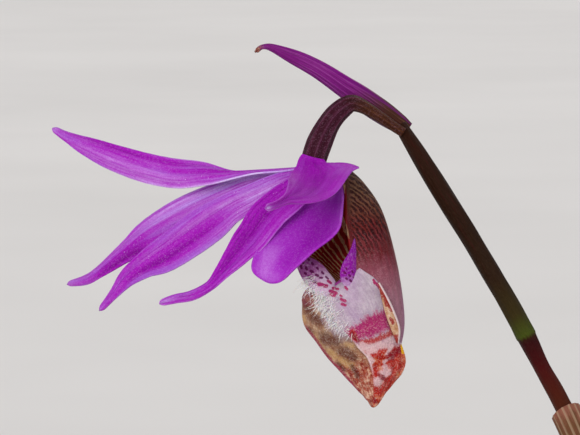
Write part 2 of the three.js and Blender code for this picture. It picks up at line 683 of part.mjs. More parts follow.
const scapeInPot = (grow) => scape(grow).transform(bloomFrame.toArray());
const plant = new THREE.Group();
plant.add(
  bloom,
  piece('leaf', clearOf(leaf, [scapeInPot]), look(0x2f5a24, 0.5)),
  piece('corm', clearOf(corm, [scapeInPot, leaf]), look(0xb9a878, 0.6)),
);

const holder = new THREE.Group();
holder.add(
  piece('soil', soil(), look(0x33241a, 0.95)),
  piece('pot', pot(), look(0xb5643c, 0.85)),
);

const pottedOrchid = new THREE.Group();
pottedOrchid.add(holder, plant);

export default pottedOrchid;
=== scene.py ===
"""A potted calypso orchid: the finish of every surface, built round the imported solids."""

import math

import bpy
import numpy as np
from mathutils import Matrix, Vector


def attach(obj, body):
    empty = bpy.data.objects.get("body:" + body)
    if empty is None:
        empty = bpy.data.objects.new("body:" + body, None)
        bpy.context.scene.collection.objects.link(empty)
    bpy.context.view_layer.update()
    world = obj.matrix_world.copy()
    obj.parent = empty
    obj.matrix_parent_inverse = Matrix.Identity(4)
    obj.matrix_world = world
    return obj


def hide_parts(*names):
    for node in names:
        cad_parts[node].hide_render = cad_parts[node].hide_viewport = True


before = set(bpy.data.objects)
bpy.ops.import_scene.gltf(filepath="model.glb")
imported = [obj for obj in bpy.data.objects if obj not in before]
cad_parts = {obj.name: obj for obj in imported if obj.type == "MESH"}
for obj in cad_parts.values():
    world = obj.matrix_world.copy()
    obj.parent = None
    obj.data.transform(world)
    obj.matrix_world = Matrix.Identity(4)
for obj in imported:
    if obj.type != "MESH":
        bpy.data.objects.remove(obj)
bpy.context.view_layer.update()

# Lengths are in millimetres until a mesh is made. The bloom has its own frame: its origin is
# the lower end of the ovary, +X is to the right of someone who looks at it from the front,
# +Y is away from them and +Z is up.
MM = 0.001
BLOOM_ORIGIN = np.array([-16.0, 0.0, 150.0])
BLOOM_TILT = math.radians(-6)
TAU = 2 * math.pi

# Blades are rows from base to tip: midrib x, y, z, then the direction across x, y, z, then
# the half widths on the two sides of the midrib, the cup and the crease. The cup is the half
# angle of the arc that the section follows.
DORSAL_SEPAL = [
    [-0.6, 0.3, 0.1, 0, 1, 0, 0.5, 0.5, 0.5, 0],
    [-2.5, 0.5, -0.1, 0, 1, 0.05, 0.6, 0.55, 0.5, 0],
    [-5, 0.7, -0.3, 0, 1, 0.15, 0.75, 0.6, 0.4, 0],
    [-7.6, 0.9, -0.55, 0.05, 0.9, 0.4, 0.85, 0.7, 0.35, 0.1],
    [-10.2, 1.2, -0.6, 0.05, 0.6, 0.8, 1.1, 1.5, 0.35, 0.1],
    [-13.4, 1.5, -0.5, 0.1, 0.25, 0.95, 1.3, 1.6, 0.4, 0.1],
    [-17, 1.8, 0.5, 0.3, 0.2, 0.95, 1.35, 1.35, 0.4, 0.1],
    [-20.6, 2.1, 1.9, 0.4, 0.2, 0.9, 0.95, 0.9, 0.4, 0.1],
    [-22.6, 2.3, 2.8, 0.4, 0.2, 0.9, 0.5, 0.5, 0.4, 0],
    [-24, 2.4, 3.6, 0.4, 0.2, 0.9, 0.28, 0.28, 0.4, 0],
]
FAR_PETAL = [
    [-1.3, 1, -0.3, -0.2, 0.6, 0.8, 0.6, 0.6, 0.5, 0],
    [-3.1, 1.3, -0.9, -0.3, 0.5, 0.85, 1, 1, 0.5, 0],
    [-5.4, 1.6, -1.3, -0.3, 0.4, 0.85, 1.3, 1.3, 0.45, 0],
    [-7.5, 1.9, -2.1, -0.4, 0.3, 0.85, 1.5, 1.5, 0.4, 0.1],
    [-12, 2.3, -4.4, -0.5, 0.3, 0.85, 1.95, 1.95, 0.35, 0.15],
    [-15.2, 2.6, -6.1, -0.5, 0.3, 0.85, 1.7, 1.7, 0.35, 0.15],
    [-17.2, 2.8, -7.4, -0.55, 0.3, 0.8, 1.05, 1.05, 0.4, 0.1],
    [-19.7, 3, -9.3, -0.55, 0.3, 0.75, 0.6, 0.6, 0.5, 0],
    [-21, 3, -10.1, -0.3, 0.3, 0.9, 0.45, 0.5, 0.5, 0],
    [-22.7, 3, -10.5, -0.1, 0.3, 0.95, 0.26, 0.26, 0.5, 0],
]
FAR_SEPAL = [
    [-1.3, 0, -0.5, 0.5, -0.4, -0.75, 0.6, 0.6, 0.5, 0],
    [-3.4, -0.1, -1.4, 0.5, -0.4, -0.75, 1, 1, 0.45, 0],
    [-5.8, -0.2, -2.6, 0.5, -0.35, -0.8, 1.25, 1.25, 0.4, 0],
    [-7.9, -0.4, -3.7, 0.55, -0.3, -0.8, 1.5, 1.5, 0.35, 0.1],
    [-10, -0.6, -5.15, 0.55, -0.25, -0.8, 1.85, 1.85, 0.35, 0.2],
    [-13.7, -0.9, -7.7, 0.55, -0.2, -0.8, 1.7, 1.7, 0.35, 0.2],
    [-15.6, -1, -8.8, 0.55, -0.2, -0.8, 1.2, 1.2, 0.4, 0.1],
    [-17.1, -1.1, -9.9, 0.65, -0.2, -0.7, 0.85, 0.85, 0.4, 0],
    [-18.2, -1.2, -11.2, 0.75, -0.2, -0.6, 0.5, 0.5, 0.4, 0],
    [-19.6, -1.2, -12.8, 0.75, -0.2, -0.6, 0.26, 0.26, 0.4, 0],
]
NEAR_PETAL = [
    [-0.9, -0.9, -0.7, 0.75, -0.35, -0.55, 0.8, 0.8, 0.4, 0],
    [-2.3, -1.6, -2.4, 0.75, -0.35, -0.55, 1.6, 1.6, 0.35, 0.1],
    [-4.3, -2.4, -4.1, 0.75, -0.35, -0.6, 1.7, 1.7, 0.35, 0.2],
    [-5.8, -3, -6.1, 0.75, -0.3, -0.6, 1.55, 1.55, 0.35, 0.2],
    [-6.8, -3.4, -7.3, 0.75, -0.3, -0.6, 1.35, 1.35, 0.4, 0.1],
    [-7.8, -3.8, -8.5, 0.7, -0.3, -0.65, 1, 1, 0.4, 0.1],
    [-8.6, -4.1, -9.4, 0.7, -0.3, -0.65, 0.7, 0.7, 0.45, 0],
    [-9.6, -4.4, -10.5, 0.6, -0.3, -0.75, 0.45, 0.45, 0.5, 0],
    [-11.2, -4.7, -11.4, 0.3, -0.4, -0.85, 0.5, 0.5, 0.5, 0],
    [-12.7, -4.9, -11.7, 0.2, -0.4, -0.9, 0.45, 0.45, 0.5, 0],
    [-14.1, -5, -12.1, 0.2, -0.4, -0.9, 0.28, 0.28, 0.5, 0],
]
NEAR_SEPAL = [
    [-0.32, -1, 0.84, 0.96, 0, -0.27, 1.09, 0.91, 0.3, 0],
    [-0.41, -1.4, 0.39, 1, 0, -0.2, 1.44, 1.81, 0.2, 0],
    [-0.19, -2.4, -0.25, 1, 0, -0.06, 1.98, 3.32, 0.15, 0],
    [-0.25, -3.8, -0.98, 1, 0, -0.03, 2.25, 2.88, 0.25, 0.05],
    [-0.84, -6, -1.8, 0.97, 0, -0.25, 2.08, 2.53, 0.35, 0.1],
    [-1.64, -9, -2.43, 0.8, 0, -0.6, 1.49, 1.45, 0.4, 0.1],
    [-2.69, -11.5, -2.88, 0.55, 0, -0.83, 0.64, 0.46, 0.5, 0],
    [-3.65, -13.8, -3.33, 0.35, 0, -0.94, 0.36, 0.36, 0.6, 0],
    [-4.64, -15.5, -3.68, 0.35, 0, -0.94, 0.32, 0.32, 0.6, 0],
]
COLUMN = [
    [1.08, 0.2, -0.36, 0.75, -0.6, -0.2, 0.9, 0.8, 0.9, 0],
    [1.44, 0.1, -1.08, 0.7, -0.6, -0.35, 1.6, 0.9, 0.9, 0],
    [0.98, -0.7, -2.79, 0.65, -0.6, -0.47, 2.6, 2, 0.85, 0],
    [-0.64, -1.8, -4.86, 0.65, -0.55, -0.5, 2.9, 3.87, 0.75, 0],
    [-2.34, -3, -6.82, 0.65, -0.45, -0.5, 2.6, 2.68, 0.6, 0],
    [-3.81, -4, -8.6, 0.7, -0.3, -0.45, 2.1, 1.95, 0.5, 0],
    [-4.45, -4.4, -10.22, 0.75, -0.2, -0.4, 1.8, 1.35, 0.4, 0],
]
BRACT = [
    [8.1, 1.2, 3.4, 0.5, -0.35, 0.79, 0.8, 0.8, 1.3, 0],
    [7.2, 1.5, 3.9, 0.5, -0.35, 0.79, 1.15, 1.15, 1.3, 0],
    [5.8, 1.7, 4.8, 0.5, -0.35, 0.79, 1.35, 1.35, 1.2, 0],
    [3.9, 1.9, 6.1, 0.5, -0.35, 0.79, 1.35, 1.35, 1.1, 0],
    [2.2, 1.6, 7.3, 0.5, -0.35, 0.79, 1.15, 1.15, 1, 0],
    [0, 1.2, 8.8, 0.5, -0.35, 0.79, 0.95, 0.95, 0.9, 0],
    [-2.1, 0.9, 9.9, 0.4, -0.35, 0.84, 0.75, 0.75, 0.8, 0],
    [-4.1, 0.6, 10.8, 0.2, -0.35, 0.9, 0.36, 0.36, 0.7, 0],
    [-5, 0.5, 10.9, -0.1, -0.35, 0.9, 0.2, 0.2, 0.7, 0],
    [-5.6, 0.5, 10.5, -0.6, -0.35, 0.7, 0.22, 0.22, 0.7, 0],
]
NEAR_LOBE = [
    [3.25, -2.5, -6.3, -0.85, -0.5, -0.1, 0.08, 0.08, 0.5, 0],
    [3.1, -2.75, -7.6, -0.85, -0.5, -0.15, 0.42, 0.35, 0.5, 0],
    [2.8, -2.95, -8.8, -0.85, -0.45, -0.2, 0.9, 0.7, 0.6, 0],
    [2.75, -2.9, -9.7, -0.85, -0.4, -0.2, 0.85, 0.8, 0.6, 0],
    [2.95, -2.5, -10.6, -0.85, -0.4, -0.3, 0.5, 0.5, 0.5, 0],
]
FAR_LOBE = [
    [-1.71, -0.2, -8.09, -0.65, -0.2, -0.7, 0.75, 0.3, 0.35, 0],
    [-1.35, -0.6, -8.81, -0.65, -0.2, -0.7, 1.25, 0.55, 0.35, 0],
    [-0.64, -1.1, -9.61, -0.65, -0.2, -0.7, 1.45, 0.85, 0.35, 0],
    [0.3, -1.5, -10.4, -0.65, -0.2, -0.7, 1.25, 1, 0.35, 0],
    [1.2, -1.65, -11.05, -0.65, -0.2, -0.7, 0.95, 0.8, 0.35, 0],
]
LIP_FOLD = [
    [5.4, -2.6, -10.3, 0.9, -0.3, 0.3, 0.06, 0.06, 0.5, 0],
    [5.9, -2.5, -11.5, 0.9, -0.3, 0.3, 0.28, 0.26, 0.6, 0],
    [6.45, -2.1, -12.9, 0.9, -0.3, 0.3, 0.46, 0.4, 0.6, 0],
    [6.95, -1.6, -14.4, 0.9, -0.3, 0.3, 0.42, 0.4, 0.6, 0],
    [7.15, -1.1, -15.8, 0.9, -0.3, 0.3, 0.08, 0.08, 0.5, 0],
]

# Round stems are rows of x, y, z and radius.
OVARY = [
    [7.7, 0.45, 3.2, 0.45],
    [6.9, 0.4, 3.7, 0.45],
    [5.6, 0.3, 4.6, 0.5],
    [4.1, 0.1, 5.5, 0.6],
    [3, 0, 5.8, 0.75],
    [1.9, 0, 5.1, 0.88],
    [1, 0, 4, 0.94],
    [0.15, 0, 2.3, 1.08],
    [-0.45, 0, 0.5, 1.05],
    [-0.5, 0, -0.1, 0.7],
]
SCAPE_IN_BLOOM = [
    [7.45, 1.1, 3.85, 0.6],
    [9.4, 0.3, 0.7, 0.8],
    [11.6, 0.2, -2.9, 0.87],
    [13.5, 0.1, -5.9, 0.89],
    [15.2, 0, -8.8, 0.89],
    [16.8, 0, -11.5, 0.89],
    [18.6, 0, -14.8, 0.87],
    [20.2, 0, -18, 0.72],
    [21.7, 0, -20.7, 0.78],
    [23.2, 0, -23.9, 0.8],
]
# The stem's node lies this many rows down, and this share of its length of 92 mm.
SCAPE_JOINT = 6.12
SCAPE_ABOVE_JOINT = 0.2365
SCAPE_LENGTH = 92
# The rows from here on are in the pot's frame.
SCAPE_IN_POT = [
    [11.5, -1.6, 116, 0.65],
    [17.5, -0.6, 102, 0.7],
    [21.8, 0.8, 88, 0.8],
    [23.6, 1.8, 76, 0.9],
    [24, 2, 67.5, 0.9],
]
PETIOLE = [
    [20.2, 0.2, 67.2, 1.1],
    [18.6, -2.4, 71, 1],
    [16.2, -5, 75, 0.95],
    [13.4, -7.1, 77.5, 0.9],
    [11, -8.7, 78.9, 0.4],
]
LEAF = [
    [13.5, -7, 77.5, -0.4, -0.85, 0.3, 1.2, 1.2, 0.9, 0],
    [9.5, -9.5, 80.5, -0.45, -0.85, 0.2, 6.5, 6.5, 0.5, 0.5],
    [1, -13.5, 83, -0.45, -0.88, 0.1, 12.5, 12.5, 0.3, 0.6],
    [-8.5, -17.5, 83.5, -0.45, -0.88, 0, 13, 13, 0.25, 0.6],
    [-18, -21, 82, -0.45, -0.88, 0, 9.5, 9.5, 0.25, 0.5],
    [-25.5, -24, 80, -0.45, -0.88, 0, 4.5, 4.5, 0.25, 0.3],
    [-29.5, -25.5, 79, -0.45, -0.88, 0, 0.6, 0.6, 0.25, 0],
]
LEAF_PLEATS = {"folds": 4, "depth": 0.45, "ripple": 1.1, "ripples": 4}
SHEATH_GAP = 0.3
SHEATH_RIB = 0.05
UPPER_SHEATH = {"first": 0.61, "last": 0.8, "wall": 0.35, "slant": 0.012, "flare": 0.1}
LOWER_SHEATH = {"first": 0.765, "last": 0.965, "wall": 0.35, "slant": 0.018, "flare": 1}

# The lip hangs from its base along one axis, and its mouth faces left and to the front.
LIP_BASE = np.array([1.5, 0.5, 0])
LIP_DOWN = np.array([0.16, 0.06, -0.985])
LIP_FRONT = np.array([-0.643, -0.766, 0])
LIP_SIDE = np.array([0.766, -0.643, 0])
# Distance down the axis, half width, half depth, and how far the centre lies in front
POUCH = [
    [0, 0.9, 0.8, -0.2],
    [1.5, 2.2, 2, -0.3],
    [4, 3.4, 3.1, -0.35],
    [8, 3.95, 3.5, -0.4],
    [12, 4, 3.2, -0.6],
    [15, 3.5, 2.6, -0.8],
    [18, 2.2, 1.6, -0.6],
    [20, 1.2, 0.9, -0.3],
    [21, 0.5, 0.4, -0.1],
]
# Distance down the axis, and the half angle of the mouth there
MOUTH = [[0, 1], [1.5, 0.84], [4.7, 0.66], [8, 0.63], [9.8, 0.5], [10.8, 0]]
# The centre of the dark stripes seen from the front, and the distance between two of them
STRIPES = {"x": -2.8, "z": -10.8, "pitch": 0.37}
# Where the pale lines of the pouch's inside begin, and how they widen away from there
WEAVE = {"x": -1.62, "z": -7.39, "start": 0.9, "width": 0.43085, "taper": 0.09468, "pitch": 0.18}
# The apron's rows are its far margin, its keel and its near margin.
APRON = [
    [-0.72, -0.2, -10.62, 1.79, -0.7, -10.34, 3.48, -2.1, -8.89],
    [-1.12, 0.1, -11.07, 1.43, -1.3, -10.78, 4.01, -2.45, -9.2],
    [-1.35, 0.6, -11.71, 0.93, -1.6, -11.36, 4.64, -2.35, -9.6],
    [-1.3, 1, -12.3, 0.55, -1.6, -12.05, 5.1, -2.15, -10],
    [-1.3, 1.6, -13.4, 1.2, -1.8, -13.1, 5.8, -1.8, -11],
    [-1, 1.8, -14.4, 2, -1.95, -14.2, 6.3, -1.5, -12.4],
    [-0.1, 1.7, -15.6, 2.9, -1.9, -15.1, 6.8, -0.95, -13.8],
    [0.9, 1.5, -17, 3.7, -1.8, -16.1, 7.3, -0.4, -15.5],
    [1.9, 1.2, -18.1, 4.5, -1.6, -17, 7.8, -0.2, -17.1],
    [2.9, 1, -19.2, 4.9, -1.3, -18.2, 7.6, -0.1, -18.2],
    [3.8, 0.7, -20.2, 5, -1, -19.4, 6.8, -0.1, -19.2],
    [4.4, 0.3, -20.8, 5, -0.6, -20.4, 6, -0.1, -20.2],
    [4.9, -0.1, -21.4, 5, -0.3, -21.5, 5.3, -0.2, -21.2],
]
# Distance to the side, to the front and down the axis, and radius
HORN = [[0.3, -0.5, 19.2, 0.4], [0.36, -0.4, 20.7, 0.3], [0.45, -0.2, 21.6, 0.06]]
ANTHER = {"centre": [-2.75, -3.4, -9], "radii": [0.62, 0.62, 0.5]}

# Marks on the lip are bars seen from the front: x, z of both ends and the half width.
LOBE_SPOTS = [
    [-1.36, -8.44, -1.31, -8.53, 0.11],
    [-0.91, -8.17, -0.82, -8.26, 0.1],
    [-1.09, -8.98, -1, -9.11, 0.13],
    [-0.55, -8.53, -0.46, -8.66, 0.1],
    [-0.64, -9.25, -0.51, -9.34, 0.13],
    [-0.1, -8.98, -0.01, -9.07, 0.1],
    [-0.82, -9.78, -0.64, -9.92, 0.13],
    [-0.19, -9.6, -0.01, -9.69, 0.13],
    [0.35, -9.34, 0.48, -9.47, 0.1],
    [-0.37, -10.23, -0.19, -10.28, 0.12],
    [-1.53, -8.8, -1.49, -8.98, 0.11],
    [0.17, -9.87, 0.35, -9.87, 0.11],
    [0.7, -9.78, 0.88, -9.92, 0.1],
    [-0.01, -8.26, 0.08, -8.35, 0.09],
    [-1.18, -9.43, -1.09, -9.51, 0.09],
    [2.32, -9.34, 2.41, -9.43, 0.1],
    [2.76, -9.6, 2.85, -9.69, 0.1],
    [2.49, -9.87, 2.58, -9.96, 0.1],
    [3.03, -9.25, 3.08, -9.34, 0.09],
    [2.85, -10.05, 2.94, -10.14, 0.1],
    [2.49, -8.98, 2.54, -9.07, 0.08],
    [3.12, -9.78, 3.21, -9.87, 0.08],
]
THROAT_DASHES = [
    [0.08, -10.41, 0.7, -10.59, 0.18],
    [0.88, -10.14, 1.15, -10.32, 0.13],
    [1.06, -11.04, 1.6, -11.22, 0.15],
    [1.06, -11.4, 1.51, -11.48, 0.11],
    [1.33, -10.77, 1.78, -10.86, 0.11],
    [2.05, -11.75, 2.41, -11.93, 0.14],
    [2.14, -12.2, 2.41, -12.29, 0.13],
    [1.96, -11.4, 2.14, -11.48, 0.09],
    [2.41, -10.68, 2.58, -10.86, 0.11],
    [1.6, -10.05, 1.78, -10.23, 0.09],
    [4.96, -10.05, 5.09, -10.32, 0.13],
    [5.27, -10.41, 5.54, -10.77, 0.14],
]
MAGENTAS = [
    [3.12, -14.98, 4.46, -14.35, 0.78],
    [4.46, -14.35, 6.08, -13.55, 0.95],
]
REDS = [
    [3.93, -15.69, 5, -15.51, 0.27],
    [5, -15.51, 6.61, -14.8, 0.29],
    [4.73, -16.68, 5.81, -16.23, 0.4],
    [6.44, -17.04, 7.33, -16.32, 0.4],
    [5.99, -17.75, 7.06, -17.39, 0.31],
    [6.08, -18.56, 7.24, -17.93, 0.27],
    [5, -18.29, 5.18, -20.08, 0.4],
    [5.54, -20.08, 6.61, -18.83, 0.36],
    [3.03, -14.8, 3.48, -15.34, 0.27],
]
PALES = [
    [3.93, -16.05, 4.82, -16.36, 0.4],
    [4.82, -16.2, 6.61, -15.6, 0.4],
    [6.17, -16.68, 6.5, -16.2, 0.16],
    [5.3, -19.3, 6.1, -18.2, 0.42],
    [5.9, -17.39, 6.7, -16.95, 0.13],
    [4.4, -16.6, 4.8, -17.4, 0.2],
]
CRIMSONS = [
    [6.35, -17.04, 7.24, -16.32, 0.31],
    [5.5, -18.6, 6, -19, 0.2],
    [3.03, -14.89, 3.57, -15.42, 0.21],
    [4.82, -20.71, 5.18, -20.98, 0.22],
]
BROWNS = [
    [-0.46, -13.45, 0.17, -13.81, 0.45],
    [0.61, -15.34, 1.6, -15.51, 0.54],
    [2.3, -16.5, 3, -17, 0.5],
    [-1.09, -12.29, -0.82, -12.83, 0.36],
    [-0.91, -14.62, -0.64, -14.89, 0.31],
    [1.51, -14.17, 2.23, -14.89, 0.27],
    [3.12, -17.84, 3.57, -18.65, 0.26],
    [1.78, -17.66, 2.32, -18.2, 0.2],
]
GOLDS = [
    [-0.91, -11.84, 0.35, -11.57, 0.2],
    [-0.01, -12.83, 0.88, -13.28, 0.23],
    [-0.55, -14.89, 0.35, -16.14, 0.27],
    [2.49, -15.78, 3.03, -15.96, 0.22],
    [2.14, -17.31, 3.03, -17.75, 0.36],
    [1.06, -16.5, 1.6, -17.04, 0.27],
    [-1.36, -13.45, -1.18, -13.99, 0.18],
]
VIOLETS = [[3.1, -10, 3, -11.6, 1.3], [2.2, -12.2, 3.4, -13.4, 0.9]]
YELLOWS = [[7.55, -15.96, 7.64, -16.59, 0.14]]
FOLD_MARKS = [
    [5.6, -10.6, 5.95, -11.5, 0.34],
    [6, -11.9, 6.15, -12.3, 0.16],
    [6.26, -12.1, 6.6, -12.7, 0.2],
    [6.5, -13.5, 6.7, -13.9, 0.16],
    [7, -13, 7.15, -13.8, 0.16],
    [7.06, -15.25, 7.24, -15.87, 0.3],
]

POT = {
    "height": 74, "foot": 29, "body": 39, "rim_base": 56, "rim": 42, "mouth": 44,
    "wall": 4, "floor": 5, "drain": 5,
}
SOIL_TOP = 66
SOIL_BUMP = 0.7
CORM = {"centre": [24, 2, 64.5], "radius": 6.2, "half_height": 5.4}

# The rows and columns of each piece's mesh
MESH = {
    "tepal": (190, 36), "column": (130, 64), "anther": (40, 48), "ovary": (140, 96), "bract": (200, 48),
    "scape": (330, 48), "sheath": (120, 73), "pouch": (155, 161), "apron": (170, 140), "lobe": (90, 40),
    "fold": (90, 30), "horn": (40, 24), "hair": (7, 4), "leaf": (150, 96), "stalk": (90, 40),
    "corm": (110, 96), "soil": (96, 208), "crumb": (6, 8), "moss": (5, 4), "needle": (15, 6),
}
POT_SIDES = 144
# The thickness of each sheet at its middle
THICKNESS = {
    "tepal": 0.3, "column": 0.5, "bract": 0.26, "pouch": 0.32, "apron": 0.3, "lobe": 0.28, "fold": 0.2,
    "leaf": 0.42,
}
# How many of the small things there are. The moss stands in cushions.
HAIRS = 760
CRUMBS = 540
NEEDLES = 70
CUSHIONS = 16
MOSS_STEMS = 2600
SEEDS = {"hairs": 51, "crumbs": 71, "moss": 81, "needles": 91}
# What a mark's field holds far from every mark
NO_MARK = -3.0

# The camera looks level at the bloom. Its aim is in the bloom's frame.
CAMERA_DISTANCE = 400
CAMERA_AIM = np.array([-2.52, 0, -4.455])
PICTURE_WIDTH = 52.2
SENSOR_WIDTH = 36
FLOOR_REACH = 14000
# Each light's direction, strength and angle across in degrees
LIGHTS = {
    "key": ((-0.35, -1, 0.38), 1.9, 32),
    "fill": ((0.8, -0.8, 0.1), 0.6, 60),
    "back": ((0.2, 0.9, 0.7), 0.7, 40),
}
SKY_STRENGTH = 0.55


# Curves and points
def unit(vectors):
    return vectors / np.maximum(np.linalg.norm(vectors, axis=-1, keepdims=True), 1e-9)


def smooth(low, high, value):
    share = np.clip((value - low) / (high - low), 0, 1)
    return share * share * (3 - 2 * share)


def curve(rows, t):
    """The smooth curve through rows, with t from 0 at the first to 1 at the last."""
    rows = np.asarray(rows, float)
    padded = np.vstack([2 * rows[0] - rows[1], rows, 2 * rows[-1] - rows[-2]])
    place = np.clip(np.asarray(t, float), 0, 1) * (len(rows) - 1)
    first = np.minimum(place.astype(int), len(rows) - 2)
    w = (place - first)[..., None]
    before, start, end, after = (padded[first + k] for k in range(4))
    leave, arrive = (end - before) / 2, (after - start) / 2
    cubic = 2 * start - 2 * end + leave + arrive
    square = -3 * start + 3 * end - 2 * leave - arrive
    return start + w * (leave + w * (square + w * cubic))


def tangent_of(rows, t):
    step = 1e-3
    return unit(curve(rows, np.minimum(t + step, 1)) - curve(rows, np.maximum(t - step, 0)))


def to_pot(points):
    """Points of the bloom's frame in the pot's frame"""
    cos, sin = math.cos(BLOOM_TILT), math.sin(BLOOM_TILT)
    x, y, z = np.moveaxis(np.asarray(points, float), -1, 0)
    return np.stack([x, y * cos - z * sin, y * sin + z * cos], axis=-1) + BLOOM_ORIGIN


def to_bloom(points):
    cos, sin = math.cos(BLOOM_TILT), math.sin(BLOOM_TILT)
    x, y, z = np.moveaxis(np.asarray(points, float) - BLOOM_ORIGIN, -1, 0)
    return np.stack([x, y * cos + z * sin, z * cos - y * sin], axis=-1)


def wobble(t, seed, waves=7):
    """A smooth random curve about zero, at most about one high"""
    draw = np.random.default_rng(seed)
    total = np.zeros_like(t)
    for wave in range(1, waves + 1):
        total += draw.normal() * np.sin(TAU * wave * t + draw.uniform(0, TAU)) / wave ** 0.7
    return total / 2


def rumple(points, seed, size, waves=14):
    """A smooth random field over space, about zero, with features of the given size"""
    draw = np.random.default_rng(seed)
    directions = unit(draw.normal(size=(waves, 3))) * draw.uniform(0.6, 1.7, (waves, 1)) * TAU / size
    phases = draw.uniform(0, TAU, waves)
    return np.sin(points @ directions.T + phases).sum(axis=-1) / math.sqrt(waves)


def bars(points, rows):
    """How far inside the nearest bar each point lies: 1 on its middle line, 0 on its outline"""
    flat = points[..., [0, 2]]
    best = np.full(flat.shape[:-1], NO_MARK)
    for x1, z1, x2, z2, half in rows:
        start, reach = np.array([x1, z1]), np.array([x2 - x1, z2 - z1])
        share = np.clip(((flat - start) @ reach) / max(reach @ reach, 1e-9), 0, 1)
        distance = np.linalg.norm(flat - start - share[..., None] * reach, axis=-1)
        best = np.maximum(best, 1 - distance / half)
    return best


def patches(t, s, rows):
    """A sum of soft patches, as rows of place along and across, both reaches, and strength"""
    total = 0 * t * s
    for t0, s0, reach_t, reach_s, strength in rows:
        total = total + strength * np.exp(-((t - t0) / reach_t) ** 2 - ((s - s0) / reach_s) ** 2)
    return total


# Meshes
def turns(sides):
    return np.linspace(0, TAU, sides + 1)[None, :-1]


def turned(radius, turn, height=0):
    """Points round the upright axis"""
    x, y = radius * np.cos(turn), radius * np.sin(turn)
    return np.stack([x, y, height + 0 * x], axis=-1)


def quads_of(index):
    faces = np.stack([index[:-1, :-1], index[:-1, 1:], index[1:, 1:], index[1:, :-1]], axis=-1)
    return faces.reshape(-1, 4)


def thickened(faces, count):
    """A sheet's faces, the same faces on its back, and a rim along each open edge"""
    edges = np.concatenate([faces[:, [i, (i + 1) % 4]] for i in range(4)])
    edges = edges[edges[:, 0] != edges[:, 1]]
    forward = edges[:, 0] * count + edges[:, 1]
    backward = edges[:, 1] * count + edges[:, 0]
    a, b = edges[~np.isin(forward, backward)].T
    rim = np.stack([b, a, a + count, b + count], axis=1)
    return np.concatenate([faces, faces[:, ::-1] + count, rim])


def signed_volume(points, faces, ends):
    """Six times the volume inside, which is below zero where the faces look inward"""
    fans = [[ring[0], a, b] for ring in ends for a, b in zip(ring[1:-1], ring[2:])]
    fans = np.array(fans, int).reshape(-1, 3)
    corners = points[np.concatenate([faces[:, [0, 1, 2]], faces[:, [0, 2, 3]], fans])]
    return np.einsum("ij,ij->", corners[:, 0], np.cross(corners[:, 1], corners[:, 2]))


def add_piece(name, points, faces, fields, look, slot=None, nodes=(), in_bloom=True, ends=()):
    """A mesh that rides on the body. Fields are stored on its points for its material."""
    used, corners = np.unique(faces, return_inverse=True)
    faces = corners.reshape(faces.shape)
    points = points[used]
    ends = [np.searchsorted(used, ring).tolist() for ring in ends]
    if signed_volume(points, faces, ends) < 0:
        faces = faces[:, ::-1]
        ends = [ring[::-1] for ring in ends]
    mesh = bpy.data.meshes.new(name)
    placed = (to_pot(points) if in_bloom else points) * MM
    mesh.from_pydata(placed.tolist(), [], faces.tolist() + ends)
    mesh.shade_smooth()
    for key, values in fields.items():
        stored = values(points) if callable(values) else values[used]
        layer = mesh.attributes.new(key, "FLOAT", "POINT")
        layer.data.foreach_set("value", np.asarray(stored, np.float32).ravel())
    mesh.materials.append(look)
    mesh.validate()
    piece = bpy.data.objects.new(name + "_surface" if nodes else name, mesh)
    bpy.context.scene.collection.objects.link(piece)
    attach(piece, "root")
    if nodes:
        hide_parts(*nodes)


def spread_over(fields, shape, copies=1):
    """Fields as one value a point, apart from those that are worked out from the points"""
    return {
        key: values if callable(values) else np.tile(np.broadcast_to(values, shape).ravel(), copies)
        for key, values in fields.items()
    }


def sheet(name, grid, thickness, fields, look, closed_from=None, **options):
    """A thin piece from a grid of points. From one row on, its two edges may be joined."""
    shape = grid.shape[:2]
    index = np.arange(shape[0] * shape[1]).reshape(shape)
    across = np.gradient(grid, axis=1)
    if closed_from is not None:
        index[closed_from:, -1] = index[closed_from:, 0]
        across[closed_from:, [0, -1]] = (grid[closed_from:, 1] - grid[closed_from:, -2])[:, None] / 2
    normals = unit(np.cross(np.gradient(grid, axis=0), across))
    half = normals * np.broadcast_to(thickness, shape)[..., None] / 2
    points = np.concatenate([(grid + half).reshape(-1, 3), (grid - half).reshape(-1, 3)])
    fields = spread_over(fields, shape, 2)
    fields["back"] = np.repeat([0.0, 1.0], index.size)
    add_piece(name, points, thickened(quads_of(index), index.size), fields, look, **options)


def tubes(name, rings, fields, look, **options):
    """Closed bodies through rings of points, from an array of body, ring, side and x, y, z"""
    shape = rings.shape[:3]
    index = np.arange(math.prod(shape)).reshape(shape)
    wrapped = np.concatenate([index, index[..., :1]], axis=2)
    faces = np.concatenate([quads_of(body) for body in wrapped])
    ends = [ring for body in index for ring in (body[0, ::-1], body[-1])]
    add_piece(name, rings.reshape(-1, 3), faces, spread_over(fields, shape), look, ends=ends, **options)


def strands(paths, radii, sides):
    """Rings of points round the centre lines of many threads"""
    along = unit(np.gradient(paths, axis=1))
    first = unit(np.cross(along, np.array([0.31, 0.52, 0.79])))[:, :, None]
    second = np.cross(along[:, :, None], first)
    turn = turns(sides)[0][:, None]
    ring = np.cos(turn) * first + np.sin(turn) * second
    return paths[:, :, None] + ring * radii[:, :, None, None]


